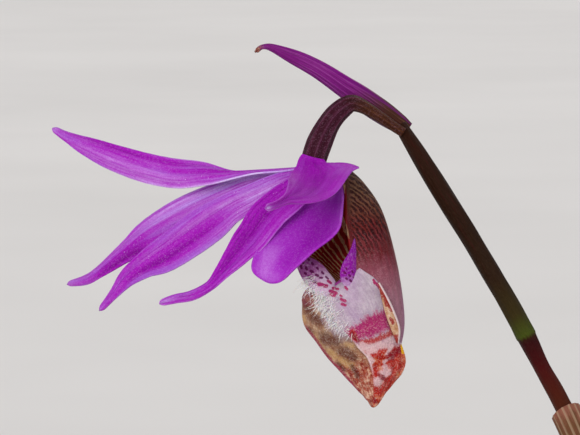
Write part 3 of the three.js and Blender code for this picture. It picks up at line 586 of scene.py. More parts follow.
def blade_grid(stations, rows, columns, tip=0.97, blunt=2.0, relief=None, spread=None):
    """A blade's sheet, with the places along (0 to 1) and across (-1 to 1) of its points"""
    stations = np.asarray(stations, float)
    t = np.linspace(0, 1, rows + 1)[:, None]
    t = np.where(t > tip, tip + (1 - tip) * np.sin(math.pi / 2 * (t - tip) / (1 - tip)), t)
    s = np.linspace(-1, 1, columns + 1)[None, :]
    midrib = curve(stations[:, 0:3], t[:, 0])[:, None]
    tangent = tangent_of(stations[:, 0:3], t[:, 0])
    normal = unit(np.cross(tangent, curve(stations[:, 3:6], t[:, 0])))
    side = unit(np.cross(normal, tangent))[:, None]
    normal = normal[:, None]
    form = curve(stations[:, 6:10], t[:, 0])[:, None]
    half = np.where(s < 0, form[..., 0], form[..., 1])
    if spread is not None:
        half = half * spread(t, s)
    closing = np.clip(t - tip, 0, 1) / (1 - tip)
    rounding = np.clip(1 - closing ** blunt, 1e-5, 1) ** (1 / blunt)
    cup, crease = form[..., 2], form[..., 3]
    radius = half * rounding / cup
    lift = radius * (1 - np.cos(cup * s)) - crease * np.exp(-8 * s * s)
    if relief is not None:
        lift = lift + relief(t, s)
    grid = midrib + side * (radius * np.sin(cup * s))[..., None] + normal * lift[..., None]
    return grid, t + 0 * s, s + 0 * t


def stem_rings(stations, rows, sides, radius_at=None, place=None):
    """Rings round a curve of rows x, y, z and radius, at even places along it or at those given"""
    stations = np.asarray(stations, float)
    turn = turns(sides)
    place = np.linspace(0, 1, rows)[:, None] + 0 * turn if place is None else np.clip(place, 0, 1)
    tangent = tangent_of(stations[:, 0:3], place)
    right = unit(np.cross(np.array([0.0, 1.0, 0.0]), tangent))
    front = np.cross(tangent, right)
    radius = curve(stations[:, 3:4], place)[..., 0]
    if radius_at is not None:
        radius = radius_at(radius, place, turn)
    around = np.cos(turn)[..., None] * right + np.sin(turn)[..., None] * front
    return curve(stations[:, 0:3], place) + around * radius[..., None], place, turn + 0 * place


# Materials
def colour_of(code):
    """A colour written as six hexadecimal digits, as linear red, green, blue and alpha"""
    parts = [int(code[i:i + 2], 16) / 255 for i in (0, 2, 4)]
    return tuple(c / 12.92 if c <= 0.04045 else ((c + 0.055) / 1.055) ** 2.4 for c in parts) + (1.0,)


class Look:
    """A material under construction"""

    def __init__(self, name):
        self.material = bpy.data.materials.new(name)
        self.material.use_nodes = True
        self.tree = self.material.node_tree
        self.shader = self.tree.nodes["Principled BSDF"]

    def feed(self, socket, value):
        if isinstance(value, Signal):
            self.tree.links.new(value.socket, socket)
        else:
            socket.default_value = colour_of(value) if isinstance(value, str) else value

    def node(self, kind, inputs, **settings):
        made = self.tree.nodes.new("ShaderNode" + kind)
        for key, value in settings.items():
            setattr(made, key, value)
        for key, value in inputs.items():
            self.feed(made.inputs[key], value)
        return made

    def signal(self, kind, inputs, output=0, **settings):
        return Signal(self, self.node(kind, inputs, **settings).outputs[output])

    def field(self, name):
        """A value that the mesh stores on its points"""
        return self.signal("Attribute", {}, "Fac", attribute_name=name)

    def fields(self, *names):
        return [self.field(name) for name in names]

    def margin(self, start):
        """From 0 at a share of the way across a blade to 1 at its edge"""
        return abs(self.field("across")).step(start, 1)

    def vector(self, x, y, z=0):
        return self.signal("CombineXYZ", {"X": x, "Y": y, "Z": z})

    def place(self, stretch=(1, 1, 1)):
        """Where the point lies, in millimetres"""
        where = self.signal("TexCoord", {}, "Object")
        scale = tuple(factor / MM for factor in stretch)
        return self.signal("VectorMath", {0: where, 1: scale}, operation="MULTIPLY")

    def done(self, colour, roughness=0.5, normal=None, **constants):
        self.feed(self.shader.inputs["Base Color"], colour)
        self.feed(self.shader.inputs["Roughness"], roughness)
        if normal is not None:
            self.feed(self.shader.inputs["Normal"], normal)
        for key, value in constants.items():
            self.shader.inputs[key.replace("_", " ")].default_value = value
        return self.material


class Signal:
    """What a node gives for each point of a surface: a number, a place or a colour"""

    def __init__(self, look, socket):
        self.look = look
        self.socket = socket

    def maths(self, operation, *values):
        return self.look.signal("Math", dict(enumerate(values)), operation=operation)

    def __add__(self, other):
        return self.maths("ADD", self, other)

    def __sub__(self, other):
        return self.maths("SUBTRACT", self, other)

    def __rsub__(self, other):
        return self.maths("SUBTRACT", other, self)

    def __mul__(self, other):
        return self.maths("MULTIPLY", self, other)

    __radd__ = __add__
    __rmul__ = __mul__

    def __abs__(self):
        return self.maths("ABSOLUTE", self)

    def at_least(self, other):
        return self.maths("MAXIMUM", self, other)

    def cosine(self):
        return self.maths("COSINE", self)

    def step(self, low, high):
        """A smooth rise from 0 at low to 1 at high"""
        inputs = {"Value": self, "From Min": low, "From Max": high}
        return self.look.signal("MapRange", inputs, interpolation_type="SMOOTHSTEP")

    def noise(self, scale, detail=3.0, rough=0.55, warp=0.0):
        """Noise over this place, from about -1 to 1"""
        value = self.look.signal("TexNoise", {
            "Vector": self, "Scale": scale, "Detail": detail, "Roughness": rough, "Distortion": warp,
        }, "Fac")
        limits = {"From Min": 0.25, "From Max": 0.75, "To Min": -1.0}
        return self.look.signal("MapRange", {"Value": value, **limits})

    def cells(self, scale):
        """The distance to the centre of the small cell that this place lies in"""
        return self.look.signal("TexVoronoi", {"Vector": self, "Scale": scale}, "Distance")

    def grains(self, scale):
        """A random value from 0 to 1 for each small cell, and the distance to its centre"""
        colour = self.look.signal("TexVoronoi", {"Vector": self, "Scale": scale}, "Color")
        return self.look.signal("SeparateColor", {"Color": colour}), self.cells(scale)

    def ramp(self, stops):
        """Colours by value, from pairs of a value and a colour"""
        made = self.look.node("ValToRGB", {"Fac": self})
        elements = made.color_ramp.elements
        while len(elements) < len(stops):
            elements.new(0.5)
        for element, (position, colour) in zip(elements, stops):
            element.position = position
            element.color = colour_of(colour)
        return Signal(self.look, made.outputs["Color"])

    def shades(self, *colours):
        """Colours by value, evenly spaced from 0 to 1"""
        return self.ramp(list(zip(np.linspace(0, 1, len(colours)), colours)))

    def mix(self, other, share):
        return self.look.signal("Mix", {0: share, 6: self, 7: other}, 2, data_type="RGBA")

    def marked(self, field, mark, ragged, amount=1.0, softness=0.25):
        """This colour with bars of another colour on it, whose outlines are ragged"""
        inside = (self.look.field(field) + ragged).step(-softness, softness)
        return self.mix(mark, inside * amount)

    def speckle(self, place, scale, dark, light, amount):
        """This colour with small cells on it, some darker and some lighter"""
        value, _ = place.grains(scale)
        darker = self.mix(dark, value.step(0.35, 0.0) * amount)
        return darker.mix(light, value.step(0.62, 1.0) * amount)

    def bump(self, depth):
        """A bump whose full height is depth, in millimetres"""
        return self.look.signal("Bump", {"Height": self, "Distance": depth * MM, "Strength": 1.0})


def soft_flesh(look, colour, roughness, normal, depth=0.25, amount=0.12):
    """Thin living tissue: light goes a little way into it, and its gloss is low"""
    return look.done(
        colour, roughness, normal,
        Subsurface_Weight=amount,
        Subsurface_Radius=(1, 0.35, 0.8),
        Subsurface_Scale=depth * MM,
        Specular_IOR_Level=0.07,
    )


TEPAL_TONES = [
    (0, "72007f"), (0.25, "9206a2"), (0.42, "a216b2"), (0.58, "a83abc"), (0.74, "b868cc"),
    (0.88, "ca96e2"), (1, "e8d2f6"),
]


def tepal_look(name, seed, level, sparkle):
    look = Look(name)
    place = look.place()
    run, reach = look.fields("run", "reach")
    fibres = look.vector(run * 0.35, reach * 5, seed).noise(1.6, 4, 0.65)
    streaks = look.vector(run * 0.12, reach * 1.6, seed).noise(1.2, 3, 0.5)
    grain = place.noise(8, 4, 0.8)
    # Painted light: the patch field lifts or lowers the tone. Its patches are partly the tepal's own
    # lighter and darker zones and partly painted highlights and painted shade.
    tone = level + look.field("glow") * 0.45 + place.noise(0.5, 2) * 0.04
    tone = tone + streaks * 0.09 + fibres * 0.09 + grain * 0.1
    tone = tone - look.field("vein") * 0.19 + look.margin(0.9) * 0.14
    colour = tone.ramp(TEPAL_TONES)
    # A bluish tint that follows the streaks and is strongest where the tone is lightest: partly the
    # tepal's own hue drift, partly a painted sheen.
    drift = look.vector(run * 0.1, reach * 0.9, seed).noise(1, 3)
    bluish_sheen = (drift + tone * 0.8).step(0.2, 1.3)
    colour = colour.mix("9484e2", bluish_sheen * (0.26 * sparkle))
    colour = colour.speckle(place, 13, "86109a", "dca6ea", 0.13 * sparkle)
    chosen, distance = place.grains(3.4)
    glint = distance.step(0.16, 0.05) * chosen.step(0.86, 0.92)
    colour = colour.mix("f8e2fa", glint * (0.75 * sparkle))
    height = fibres * 0.6 + grain * 0.4 - place.cells(9) * 0.5
    return soft_flesh(look, colour, 0.52, height.bump(0.03))


COLUMN_TONES = [
    (0, "6c0284"), (0.25, "820896"), (0.42, "9513ac"), (0.6, "a12cba"), (0.78, "b25ecb"),
    (0.9, "c488da"), (1, "dcb4ee"),
]


def column_look():
    look = Look("column")
    place = look.place()
    fibres = look.vector(look.field("run") * 0.2, look.field("reach"), 3).noise(2.2, 4, 0.6)
    grain = place.noise(6, 4, 0.75)
    # Painted light: the patch field holds painted highlights at the tip and along the right edge, and
    # painted light on the upper end, which the near sepal shades.
    tone = 0.5 + look.field("glow") * 0.45 + place.noise(0.6, 2) * 0.05
    tone = tone + fibres * 0.035 + grain * 0.065 + look.margin(0.93) * 0.12
    colour = tone.ramp(COLUMN_TONES).speckle(place, 13, "8a10a0", "cf98e2", 0.13)
    return soft_flesh(look, colour, 0.5, (grain + fibres).bump(0.015))


def anther_look():
    look = Look("anther")
    place = look.place()
    mottle = place.noise(4, 4)
    colour = (0.5 + mottle * 0.35).shades("5a3a08", "a8741a", "e0b84a")
    return look.done(colour, 0.42, mottle.bump(0.03), Specular_IOR_Level=0.45)


def ovary_look():
    look = Look("ovary")
    along, rib = look.fields("along", "rib")
    place = look.place()
    streaks = look.vector(along * 4, look.field("turn") * 9).noise(1.5, 4, 0.7)
    tone = 0.2 + rib * 0.34 + streaks * 0.26
    purple = tone.ramp([(0, "22040e"), (0.3, "3e0f22"), (0.65, "62304a"), (1, "94688c")])
    brown = tone.shades("2a0d06", "58301c", "8a6038")
    colour = purple.mix(brown, (along + streaks * 0.06).step(0.52, 0.3))
    colour = colour.speckle(place, 12, "20040c", "a07a90", 0.16)
    normal = (streaks * 0.7 - place.cells(12) * 0.5).bump(0.05)
    return look.done(colour, 0.5 + streaks * 0.08, normal, Specular_IOR_Level=0.09)


def bract_look():
    look = Look("bract")
    along = look.field("along")
    off = abs(look.field("across"))
    place = look.place()
    ribs = look.vector(look.field("run") * 0.12, look.field("reach") * 4.5, 2).noise(2, 4, 0.7)
    grain = place.noise(8, 3, 0.7)
    pink = (0.5 + ribs * 0.4).shades("5a0a5e", "801c7c", "a860a6")
    tan = (0.5 + ribs * 0.45).shades("260e0a", "48281e", "765440")
    colour = pink.mix(tan, (along + ribs * 0.06).step(0.44, 0.2))
    line = (off + ribs * 0.03).step(0.6, 0.72) * off.step(0.95, 0.82)
    colour = colour.mix("72087a", line * 0.5)
    # Painted shade: dark along the middle of the lower part, where the cupped bract is hollow.
    hollow_shade = off.step(0.35, 0.1) * along.step(0.42, 0.3)
    colour = colour.mix("400a10", hollow_shade * 0.75)
    colour = colour.mix("c48ab8", off.step(0.93, 1) * (along.step(0.15, 0.5) * 0.5))
    dry = (along + grain * 0.04).step(0.86, 0.97)
    colour = colour.mix((0.5 + grain).shades("5a2024", "9a5a4e", "c89878"), dry)
    normal = (ribs * 0.8 + grain * 0.3).bump(0.045)
    return soft_flesh(look, colour, 0.55, normal, amount=0.08)


def scape_look():
    look = Look("scape")
    below, turn = look.fields("below", "turn")
    streaks = look.vector(below * 0.12, turn * 1.6, 1).noise(2.4, 5, 0.65)
    fine = look.vector(below * 0.8, turn * 6, 5).noise(2, 3, 0.7)
    colour = (below * (1 / SCAPE_LENGTH) + SCAPE_ABOVE_JOINT + streaks * 0.002).ramp([
        (0, "2a1004"), (0.11, "241003"), (0.17, "281607"), (0.212, "32280a"), (0.2345, "3e480e"),
        (0.2385, "2c0104"), (0.27, "440406"), (0.31, "4a1a08"), (0.5, "5e421c"), (0.75, "606028"),
        (1, "a89c70"),
    ])
    maroon = streaks.step(0, 0.7) * below.step(0.2, -17.8)
    colour = colour.mix("3a0c0a", maroon * 0.6)
    colour = colour.mix("70543a", fine.step(0.1, 0.9) * 0.15)
    normal = (streaks + fine * 0.5).bump(0.05)
    return look.done(colour, 0.5 + fine * 0.08, normal, Specular_IOR_Level=0.09)


def sheath_look(name, tip):
    look = Look(name)
    along, turn = look.fields("along", "turn")
    place = look.place()
    streaks = look.vector(along * 1.2, turn * 5, 2).noise(2.5, 5, 0.7)
    mottle = place.noise(0.5, 4, 0.6)
    tone = along * 0.8 + (streaks * 0.1 + mottle * 0.08)
    colour = tone.ramp([
        (0, tip), (0.05, tip), (0.14, "7c5038"), (0.4, "7e6a3c"), (0.75, "948450"),
        (1, "c0b48c"),
    ])
    colour = colour.mix("5e3c26", streaks.step(0.1, 0.9) * 0.4)
    colour = colour.mix("c8b896", look.field("rib").step(0.55, 0.95) * 0.4)
    fleck = place.noise(2.4, 4, 0.7).step(0.45, 0.95)
    colour = colour.mix("5a3422", fleck * 0.5)
    normal = (streaks + mottle * 0.4).bump(0.08)
    return soft_flesh(look, colour, 0.5, normal, amount=0.06)


def stripes(value, share, softness=0.25):
    """Bands once per unit of value, each as wide as a share of that unit"""
    wave = (value * TAU).cosine()
    edge = math.cos(math.pi * share)
    return wave.step(edge - softness, edge + softness)


def pouch_look():
    look = Look("lip_pouch")
    place = look.place()
    down, rim = look.fields("down", "rim")
    mottle = place.noise(1.4, 4, 0.6)
    grain = place.noise(8, 4, 0.75)
    level = down * (1 / POUCH[-1][0]) + mottle * 0.025
    skin = level.ramp([
        (0, "3e281a"), (0.14, "4c2e20"), (0.24, "4c1412"), (0.36, "62181e"), (0.46, "8a4a5a"),
        (0.56, "9a6878"), (0.75, "a67a90"), (1, "a86c62"),
    ])
    cloud = place.noise(0.7, 4, 0.6).step(-0.1, 0.9)
    skin = skin.mix("7c2c40", cloud * 0.4)
    purple = look.field("flank") * (down + mottle).step(8.5, 14)
    skin = skin.mix("9c4c9c", purple * 0.55)
    warp = look.field("arc") + place.noise(1.3, 3) * 0.42
    broken = place.noise(3, 3, 0.6).step(-1, 0.1)
    ground = level.ramp([(0.1, "785840"), (0.25, "6c221e"), (0.45, "8e4450")])
    skin = skin.mix(ground, look.field("fan") * 0.6)
    dusty = level.ramp([(0.1, "6c5646"), (0.3, "74443e"), (0.6, "aa8c94")])
    behind = (look.field("flank") + mottle * 0.2).step(0.1, 0.9)
    skin = skin.mix(dusty, behind * 0.5)
    fan = stripes(warp, 0.6) * look.field("fan") * broken.at_least(0.5) * (1 - behind * 0.7)
    skin = skin.mix("260408", fan * 0.92)
    skin = skin.mix("5a2430", place.noise(2.6, 4, 0.7).step(0.1, 0.9) * 0.3)
    low = down.step(5, 12)
    skin = skin.mix("4a2026", grain.step(0.3, 0.9) * 0.3)
    skin = skin.mix("cfa8ac", grain.step(-0.35, -0.9) * (0.06 + low * 0.22))
    skin = skin.speckle(place, 12, "4a141c", "d8b4b4", 0.04 + low * 0.12)
    lines = look.field("weave") + place.noise(1, 3) * 0.22
    gold = stripes(lines, 0.36, 0.3) * place.noise(2.2, 3).step(-0.9, -0.2)
    ground = (0.5 + mottle * 0.5).shades("960e0e", "bc2826")
    inside = ground.mix((0.5 + grain).shades("d8ac70", "f4dcaa"), gold * 0.92)
    colour = skin.mix(inside, look.field("back"))
    edge = rim.step(0.3, 0.05) * down.step(7.5, 9)
    colour = colour.mix("8c2a86", edge * 0.85)
    height = grain * 0.35 - fan * 0.4 - place.cells(9) * 0.3
    return soft_flesh(look, colour, 0.52 + grain * 0.08, height.bump(0.04), amount=0.06)


def edge_noise(place):
    """What makes the outlines of the marks ragged"""
    return place.noise(2.2, 3) * 0.35 + place.noise(7, 3, 0.7) * 0.25


def apron_look():
    look = Look("lip_apron")
    place = look.place()
    across, height = look.fields("across", "height")
    ragged = edge_noise(place)
    mottle = place.noise(1.6, 4, 0.65)
    grain = place.noise(7, 4, 0.75)
    rays = look.vector(across * 16, look.field("along") * 4).noise(1.6, 3)
    tone = 0.5 + mottle * 0.22 + rays * 0.16
    white = tone.shades("947c96", "bba9b8", "e6dce0")
    lower = (0.45 + mottle * 0.85).ramp([
        (0, "96140f"), (0.4, "b43622"), (0.7, "cc7450"), (1, "e0b8a8"),
    ])
    near = white.mix(lower, (height + mottle * 0.45).step(-15.4, -16.6))
    magenta = tone.shades("8a1248", "a82a66", "c45a90")
    torn = ragged * 1.5 + mottle * 0.45
    near = near.marked("magentas", magenta, (ragged + rays * 0.35) * 0.8, 1, 0.35)
    near = near.marked("reds", "b02824", torn, 0.9, 0.4)
    near = near.marked("pales", "d8b4b8", torn, 0.88, 0.45)
    near = near.marked("crimsons", "840c20", torn, 0.9, 0.4)
    near = near.marked("yellows", "e0a80c", ragged * 0.3)
    tan = (0.5 + mottle * 0.65).shades("84503c", "b08464", "dcbc9c")
    rust = (0.5 + mottle * 0.85).shades("86221a", "ac5640", "e0b49a")
    far = tan.mix(rust, (height + mottle).step(-16, -18.8))
    far = far.marked("golds", "cea46c", ragged, 0.7, 0.5)
    far = far.marked("browns", "561c16", ragged * 1.2 + mottle * 0.45, 0.8, 0.7)
    far = far.mix("8a3850", (height + mottle * 0.7).step(-13.1, -11.8) * 0.75)
    margin = (across + ragged * 0.08).step(-0.86, -0.95)
    far = far.mix("9c3a4c", margin * height.step(-13.4, -15))
    tuft = (across + ragged * 0.25).step(-0.5, -0.12) * look.field("tuft")
    far = far.mix(white, tuft)
    colour = far.mix(near, across.step(-0.01, 0.01))
    colour = colour.mix("9c4aac", (look.field("violet") + mottle * 0.3).step(-0.2, 1.1) * 0.2)
    # Painted highlight: a pale line along the crest where the near half steps over the far half.
    crest_highlight = abs(across - 0.01).step(0.018, 0.006)
    colour = colour.mix("e6cdd0", crest_highlight * look.field("crest") * 0.75)
    colour = colour.marked("dashes", "a8145c", ragged * 1.1, 0.95, 0.3)
    low = height.step(-12, -15)
    colour = colour.speckle(place, 11, "5a1c1c", "f2e0d4", 0.09 + low * 0.13)
    colour = colour.mix("701c1c", grain.step(0.2, 0.9) * (0.08 + low * 0.24))
    colour = colour.mix("f4e4de", grain.step(-0.4, -0.95) * 0.2)
    relief = grain * 0.5 - place.cells(6) * 0.6
    return soft_flesh(look, colour, 0.46, relief.bump(0.06), depth=0.35, amount=0.1)


def lobe_look(name, top, middle, foot, pale=0.3, turn=0.75):
    look = Look(name)
    place = look.place()
    ragged = edge_noise(place)
    mottle = place.noise(1.5, 4, 0.6)
    tone = look.field("along") + mottle * 0.12
    colour = tone.ramp([
        (0, top), (0.45, middle), (turn - 0.1, middle), (turn + 0.12, foot), (1, foot),
    ])
    net = place.noise(3.4, 4, 0.7).step(0, 0.8)
    colour = colour.mix("dcc0de", net * pale)
    colour = colour.speckle(place, 11, "5c0a66", "e4bce8", 0.14)
    colour = colour.marked("spots", "640a50", ragged * 0.9, 0.95, 0.35)
    colour = colour.marked("dashes", "9c1258", ragged * 0.9, 0.95, 0.3)
    return soft_flesh(look, colour, 0.5, place.noise(8, 3, 0.7).bump(0.03))


def fold_look():
    look = Look("lip_fold")
    place = look.place()
    ragged = edge_noise(place)
    mottle = place.noise(1.6, 4, 0.6)
    colour = (0.5 + mottle * 0.6).shades("94563a", "b88c68", "d6bca6")
    colour = colour.marked("marks", "8e1c20", ragged, 0.92, 0.4)
    colour = colour.speckle(place, 10, "6a2018", "eadccc", 0.2)
    rim = (look.field("across") + ragged * 0.1).step(0.78, 0.98)
    colour = colour.mix("e2d2d4", rim * 0.8)
    return soft_flesh(look, colour, 0.48, mottle.bump(0.03))


def hair_look():
    look = Look("lip_hairs")
    colour = look.field("along").shades("ddcfd8", "f2ecec", "fcf8f2")
    return look.done(
        colour, 0.4,
        Specular_IOR_Level=0.5,
        Subsurface_Weight=0.2,
        Subsurface_Scale=0.1 * MM,
    )


def leaf_look():
    look = Look("leaf")
    place = look.place()
    run, reach = look.fields("run", "reach")
    fibres = look.vector(run * 0.05, reach * 2.2, 4).noise(1.6, 5, 0.65)
    mottle = place.noise(0.25, 4, 0.6)
    tone = 0.5 + fibres * 0.2 + mottle * 0.2
    top = tone.shades("1c3512", "33591f", "5c8438")
    under = tone.shades("4a2c3c", "6e5a52", "8c8a62")
    colour = top.mix(under, look.field("back"))
    colour = colour.mix("7f9c50", look.field("vein") * 0.45)
    cross = look.vector(run * 1.2, reach * 0.5, 1).noise(1.5, 3)
    colour = colour.mix("7a8a4a", look.margin(0.965) * 0.5)
    height = fibres * 0.8 + cross * 0.3
    return soft_flesh(look, colour, 0.42 + mottle * 0.06, height.bump(0.09), depth=0.4, amount=0.06)


def corm_look():
    look = Look("corm")
    place = look.place()
    fibre = look.vector(look.field("turn") * 6, look.field("up")).noise(2, 5, 0.7)
    mottle = place.noise(0.6, 4)
    tone = 0.5 + fibre * 0.25 + mottle * 0.2
    colour = tone.shades("6a5230", "b8a474", "ded2ac")
    colour = colour.mix("5e3d20", look.field("ring").step(0.35, 0.9) * 0.7)
    return look.done(colour, 0.55, (fibre + mottle).bump(0.15), Specular_IOR_Level=0.35)


def soil_look(name="soil", light="664c37"):
    look = Look(name)
    place = look.place()
    lumps = place.noise(0.5, 8, 0.7)
    crumbs = place.cells(1.3)
    tone = 0.45 + lumps * 0.4 - crumbs * 0.2
    colour = tone.ramp([(0, "1c120b"), (0.45, "3e2b1e"), (0.8, light), (1, "96805f")])
    chance, distance = place.grains(0.42)
    fleck = chance.step(0.86, 0.9) * distance.step(0.62, 0.5)
    colour = colour.mix("9a8266", fleck * 0.6)
    height = lumps - crumbs * 0.8
    return look.done(colour, 0.92, height.bump(0.7), Specular_IOR_Level=0.2)


def moss_look():
    look = Look("moss")
    tone = look.field("along") * 0.8 + look.place().noise(0.2, 3) * 0.3
    colour = tone.ramp([(0, "2a2c10"), (0.4, "4a6a1c"), (0.8, "86a83a"), (1, "b8cc66")])
    return look.done(colour, 0.6, Specular_IOR_Level=0.3)


def litter_look():
    look = Look("litter")
    tone = 0.5 + look.place().noise(0.12, 4) * 0.5
    colour = tone.shades("3f2412", "7d5130", "b48a5a")
    return look.done(colour, 0.6, Specular_IOR_Level=0.3)


def pot_look():
    look = Look("terracotta")
    place = look.place()
    broad = place.noise(0.035, 5, 0.6)
    grain = place.noise(1.1, 6, 0.7)
    turned = look.place((0.02, 0.02, 1)).noise(0.9, 5, 0.7)
    tone = 0.5 + broad * 0.3 + grain * 0.18 + turned * 0.12
    clay = tone.ramp([(0, "8a3f22"), (0.35, "ab5733"), (0.65, "bf6f47"), (1, "d39a72")])
    bloom = place.noise(0.06, 7, 0.68, 0.6)
    height = look.field("height")
    salt = (bloom + height.step(46, 8) * 0.3).step(0.25, 0.95)
    salt = salt.at_least((grain * 1.4 + height).step(70.5, 73.6) * 0.55)
    colour = clay.mix("e2d2c0", salt * 0.55)
    colour = colour.mix("6b3a26", (bloom * 6 + height).step(15, 3) * 0.45)
    pits = place.cells(0.55).step(0.16, 0.05)
    colour = colour.mix("6a331e", pits * 0.35)
    relief = grain * 0.5 + turned * 0.9 - pits * 0.8
    return look.done(colour, 0.84 + grain * 0.08, relief.bump(0.16), Specular_IOR_Level=0.25)


# The bloom
def veins_at(t, s, count, width, seed, drift=0.05):
    """Lines that run along a blade, each with its own course and strength"""
    draw = np.random.default_rng(seed)
    total = np.zeros_like(t * s)
    for place in np.linspace(-0.85, 0.85, count):
        course = place + draw.normal(0, 0.35 / count) + drift * wobble(t, draw.integers(1e6), 4)
        fade = np.clip(draw.uniform(0.35, 1.0) + 0.3 * wobble(t, draw.integers(1e6), 6), 0, 1)
        total = total + fade * np.exp(-((s - course) / width) ** 2)
    return total


def blade_fields(t, s, length, half, **more):
    return {"along": t, "across": s, "run": t * length, "reach": s * half, **more}


def tepal(name, stations, seed, glow, vein=1.0, spread=None, level=0.5, sparkle=1.0):
    """One sepal or petal: thin, veined along its length, with a slightly wavy margin"""
    def relief(t, s):
        veined = veins_at(t, s, 7, 0.05, seed) * smooth(1, 0.75, t) * smooth(0, 0.2, t)
        waved = s ** 2 * np.sign(s) * wobble(t + 0.13 * np.sign(s), seed) * 0.1
        folded = 0.05 * np.cos(3 * math.pi * s + 2 * wobble(t, seed + 4, 3))
        return waved + folded * smooth(1, 0.6, t) * smooth(0.1, 0.4, t) - 0.02 * vein * veined

    def outline(t, s):
        own = 1 if spread is None else spread(t, s)
        side = np.sign(s)
        waves = 0.035 * wobble(t + 0.31 * side, seed + 1, 9)
        frayed = 0.012 * wobble(t + 0.17 * side, seed + 2, 45)
        return own * (1 + (waves + frayed) * smooth(1, 0.9, t))

    stations = np.asarray(stations)
    grid, t, s = blade_grid(stations, *MESH["tepal"], tip=0.975, relief=relief, spread=outline)
    length = np.linalg.norm(np.diff(stations[:, :3], axis=0), axis=1).sum()
    veins = veins_at(t, s, 7, 0.025, seed) + 0.6 * veins_at(t, s, 13, 0.014, seed + 9)
    fields = blade_fields(
        t, s, length, stations[:, 6].max(),
        vein=vein * veins * smooth(0.98, 0.7, t),
        glow=patches(t, s, glow),
    )
    thickness = THICKNESS["tepal"] * (1 - 0.6 * np.abs(s) ** 4) * (1 - 0.5 * smooth(0.97, 1, t))
    look = tepal_look(name, seed, level, sparkle)
    sheet(name, grid, thickness, fields, look, slot="tepal", nodes=[name])


def make_tepals():
    # Each tepal's patches hold its own lighter and darker zones together with painted highlights and
    # painted shade.
    tepal("dorsal_sepal", DORSAL_SEPAL, 3, [
        [0.6, -0.5, 0.22, 0.6, 0.4], [0.62, 0.75, 0.2, 0.35, -0.5], [0.5, 0.95, 0.1, 0.3, 0.4],
        [1.0, 0.0, 0.04, 1.0, 0.4], [0.4, 0.1, 0.15, 0.3, -0.35], [0.3, -1.0, 0.3, 0.25, 0.6],
    ], level=0.56)
    tepal("far_petal", FAR_PETAL, 5, [
        [0.45, 0.6, 0.25, 0.55, 0.45], [0.68, -0.4, 0.14, 0.7, -0.8], [0.2, 0.6, 0.16, 0.6, 0.5],
        [1.0, 0.0, 0.05, 1.0, 0.4], [0.85, 0.8, 0.1, 0.5, 0.2],
    ], level=0.6)
    tepal("far_sepal", FAR_SEPAL, 7, [
        [0.2, 0.1, 0.16, 1.0, 0.75], [0.5, 0.15, 0.22, 0.2, -0.35], [0.66, 0.3, 0.16, 0.3, -0.75],
        [0.42, 0.85, 0.14, 0.35, 0.4], [1.0, 0.0, 0.04, 1.0, 0.4], [0.45, -0.5, 0.2, 0.3, 0.3],
    ], level=0.5)
    tepal("near_petal", NEAR_PETAL, 11, [
        [0.3, -0.3, 0.2, 0.6, -0.25], [0.3, 0.75, 0.16, 0.35, 0.4], [0.5, 0.8, 0.14, 0.3, 0.25],
        [0.82, 0.0, 0.12, 1.0, 0.35], [1.0, 0.0, 0.12, 1.0, 0.9], [0.52, -0.2, 0.12, 0.4, -0.3],
    ], vein=1.5, level=0.4, sparkle=0.6)

    def auricle(t, s):
        return 1 + 0.17 * np.exp(-np.abs(t - 0.25) / 0.03) * (s > 0)

    tepal("near_sepal", NEAR_SEPAL, 13, [
        [0.12, -0.2, 0.1, 0.6, -0.1], [0.28, 0.8, 0.08, 0.4, 0.35], [0.4, 0.1, 0.16, 0.3, -0.2],
        [0.99, 0.0, 0.05, 1.0, 1.3], [0.8, 0.9, 0.16, 0.5, 0.5], [0.62, -0.7, 0.2, 0.4, 0.35],
        [0.5, 0.9, 0.2, 0.25, 0.25],
    ], vein=0.35, spread=auricle, level=0.34, sparkle=0.5)


def make_column():
    grid, t, s = blade_grid(COLUMN, *MESH["column"], tip=0.86, blunt=2.8)
    # The patches are painted highlights at the tip and along the right edge, painted light on the upper
    # end, which the near sepal shades, and one darker zone.
    fields = blade_fields(t, s, 12, 3, glow=patches(t, s, [
        [0.85, -0.35, 0.2, 0.5, 0.62], [0.95, 0.4, 0.1, 0.5, 0.3], [0.6, 0.5, 0.14, 0.5, -0.25],
        [0.42, 0.85, 0.12, 0.25, 0.3], [0.12, 0.0, 0.2, 1.2, 0.75],
    ]))
    thickness = THICKNESS["column"] * (1 - 0.6 * np.abs(s) ** 6) * (1 - 0.65 * smooth(0.9, 1, t))
    sheet("column", grid, thickness, fields, column_look(), slot="column", nodes=["column"])


def ball(shape, margin=0.02):
    """The angle from the pole and round it, for the rings of a ball"""
    rows, sides = shape
    return np.linspace(margin, math.pi - margin, rows)[:, None], turns(sides)


def make_anther():
    t, turn = ball(MESH["anther"])
    cleft = 1 - 0.16 * np.exp(-(np.sin(turn) / 0.25) ** 2) * np.sin(t)
    level_ball = np.roll(turned(np.sin(t) * cleft, turn, np.cos(t)), 1, axis=-1)
    rings = np.array(ANTHER["centre"]) + level_ball * np.array(ANTHER["radii"])
    tubes("anther_cap", rings[None], {}, anther_look(), slot="anther", nodes=["anther_cap"])


def make_ovary():
    def ribbed(radius, t, turn):
        crest = 1 - 2 * np.abs(np.sin(4 * turn)) ** 0.8
        fine = 0.012 * np.cos(24 * turn + 2 * wobble(t, 35))
        return radius * (1 + 0.07 * smooth(0.15, 0.5, t) * crest + fine)

    rings, place, turn = stem_rings(OVARY, *MESH["ovary"], ribbed)
    fields = {"along": place, "turn": turn / TAU * 6, "rib": 1 - np.abs(np.sin(4 * turn)) ** 0.6}
    tubes("ovary", rings[None], fields, ovary_look(), slot="ovary", nodes=["ovary"])


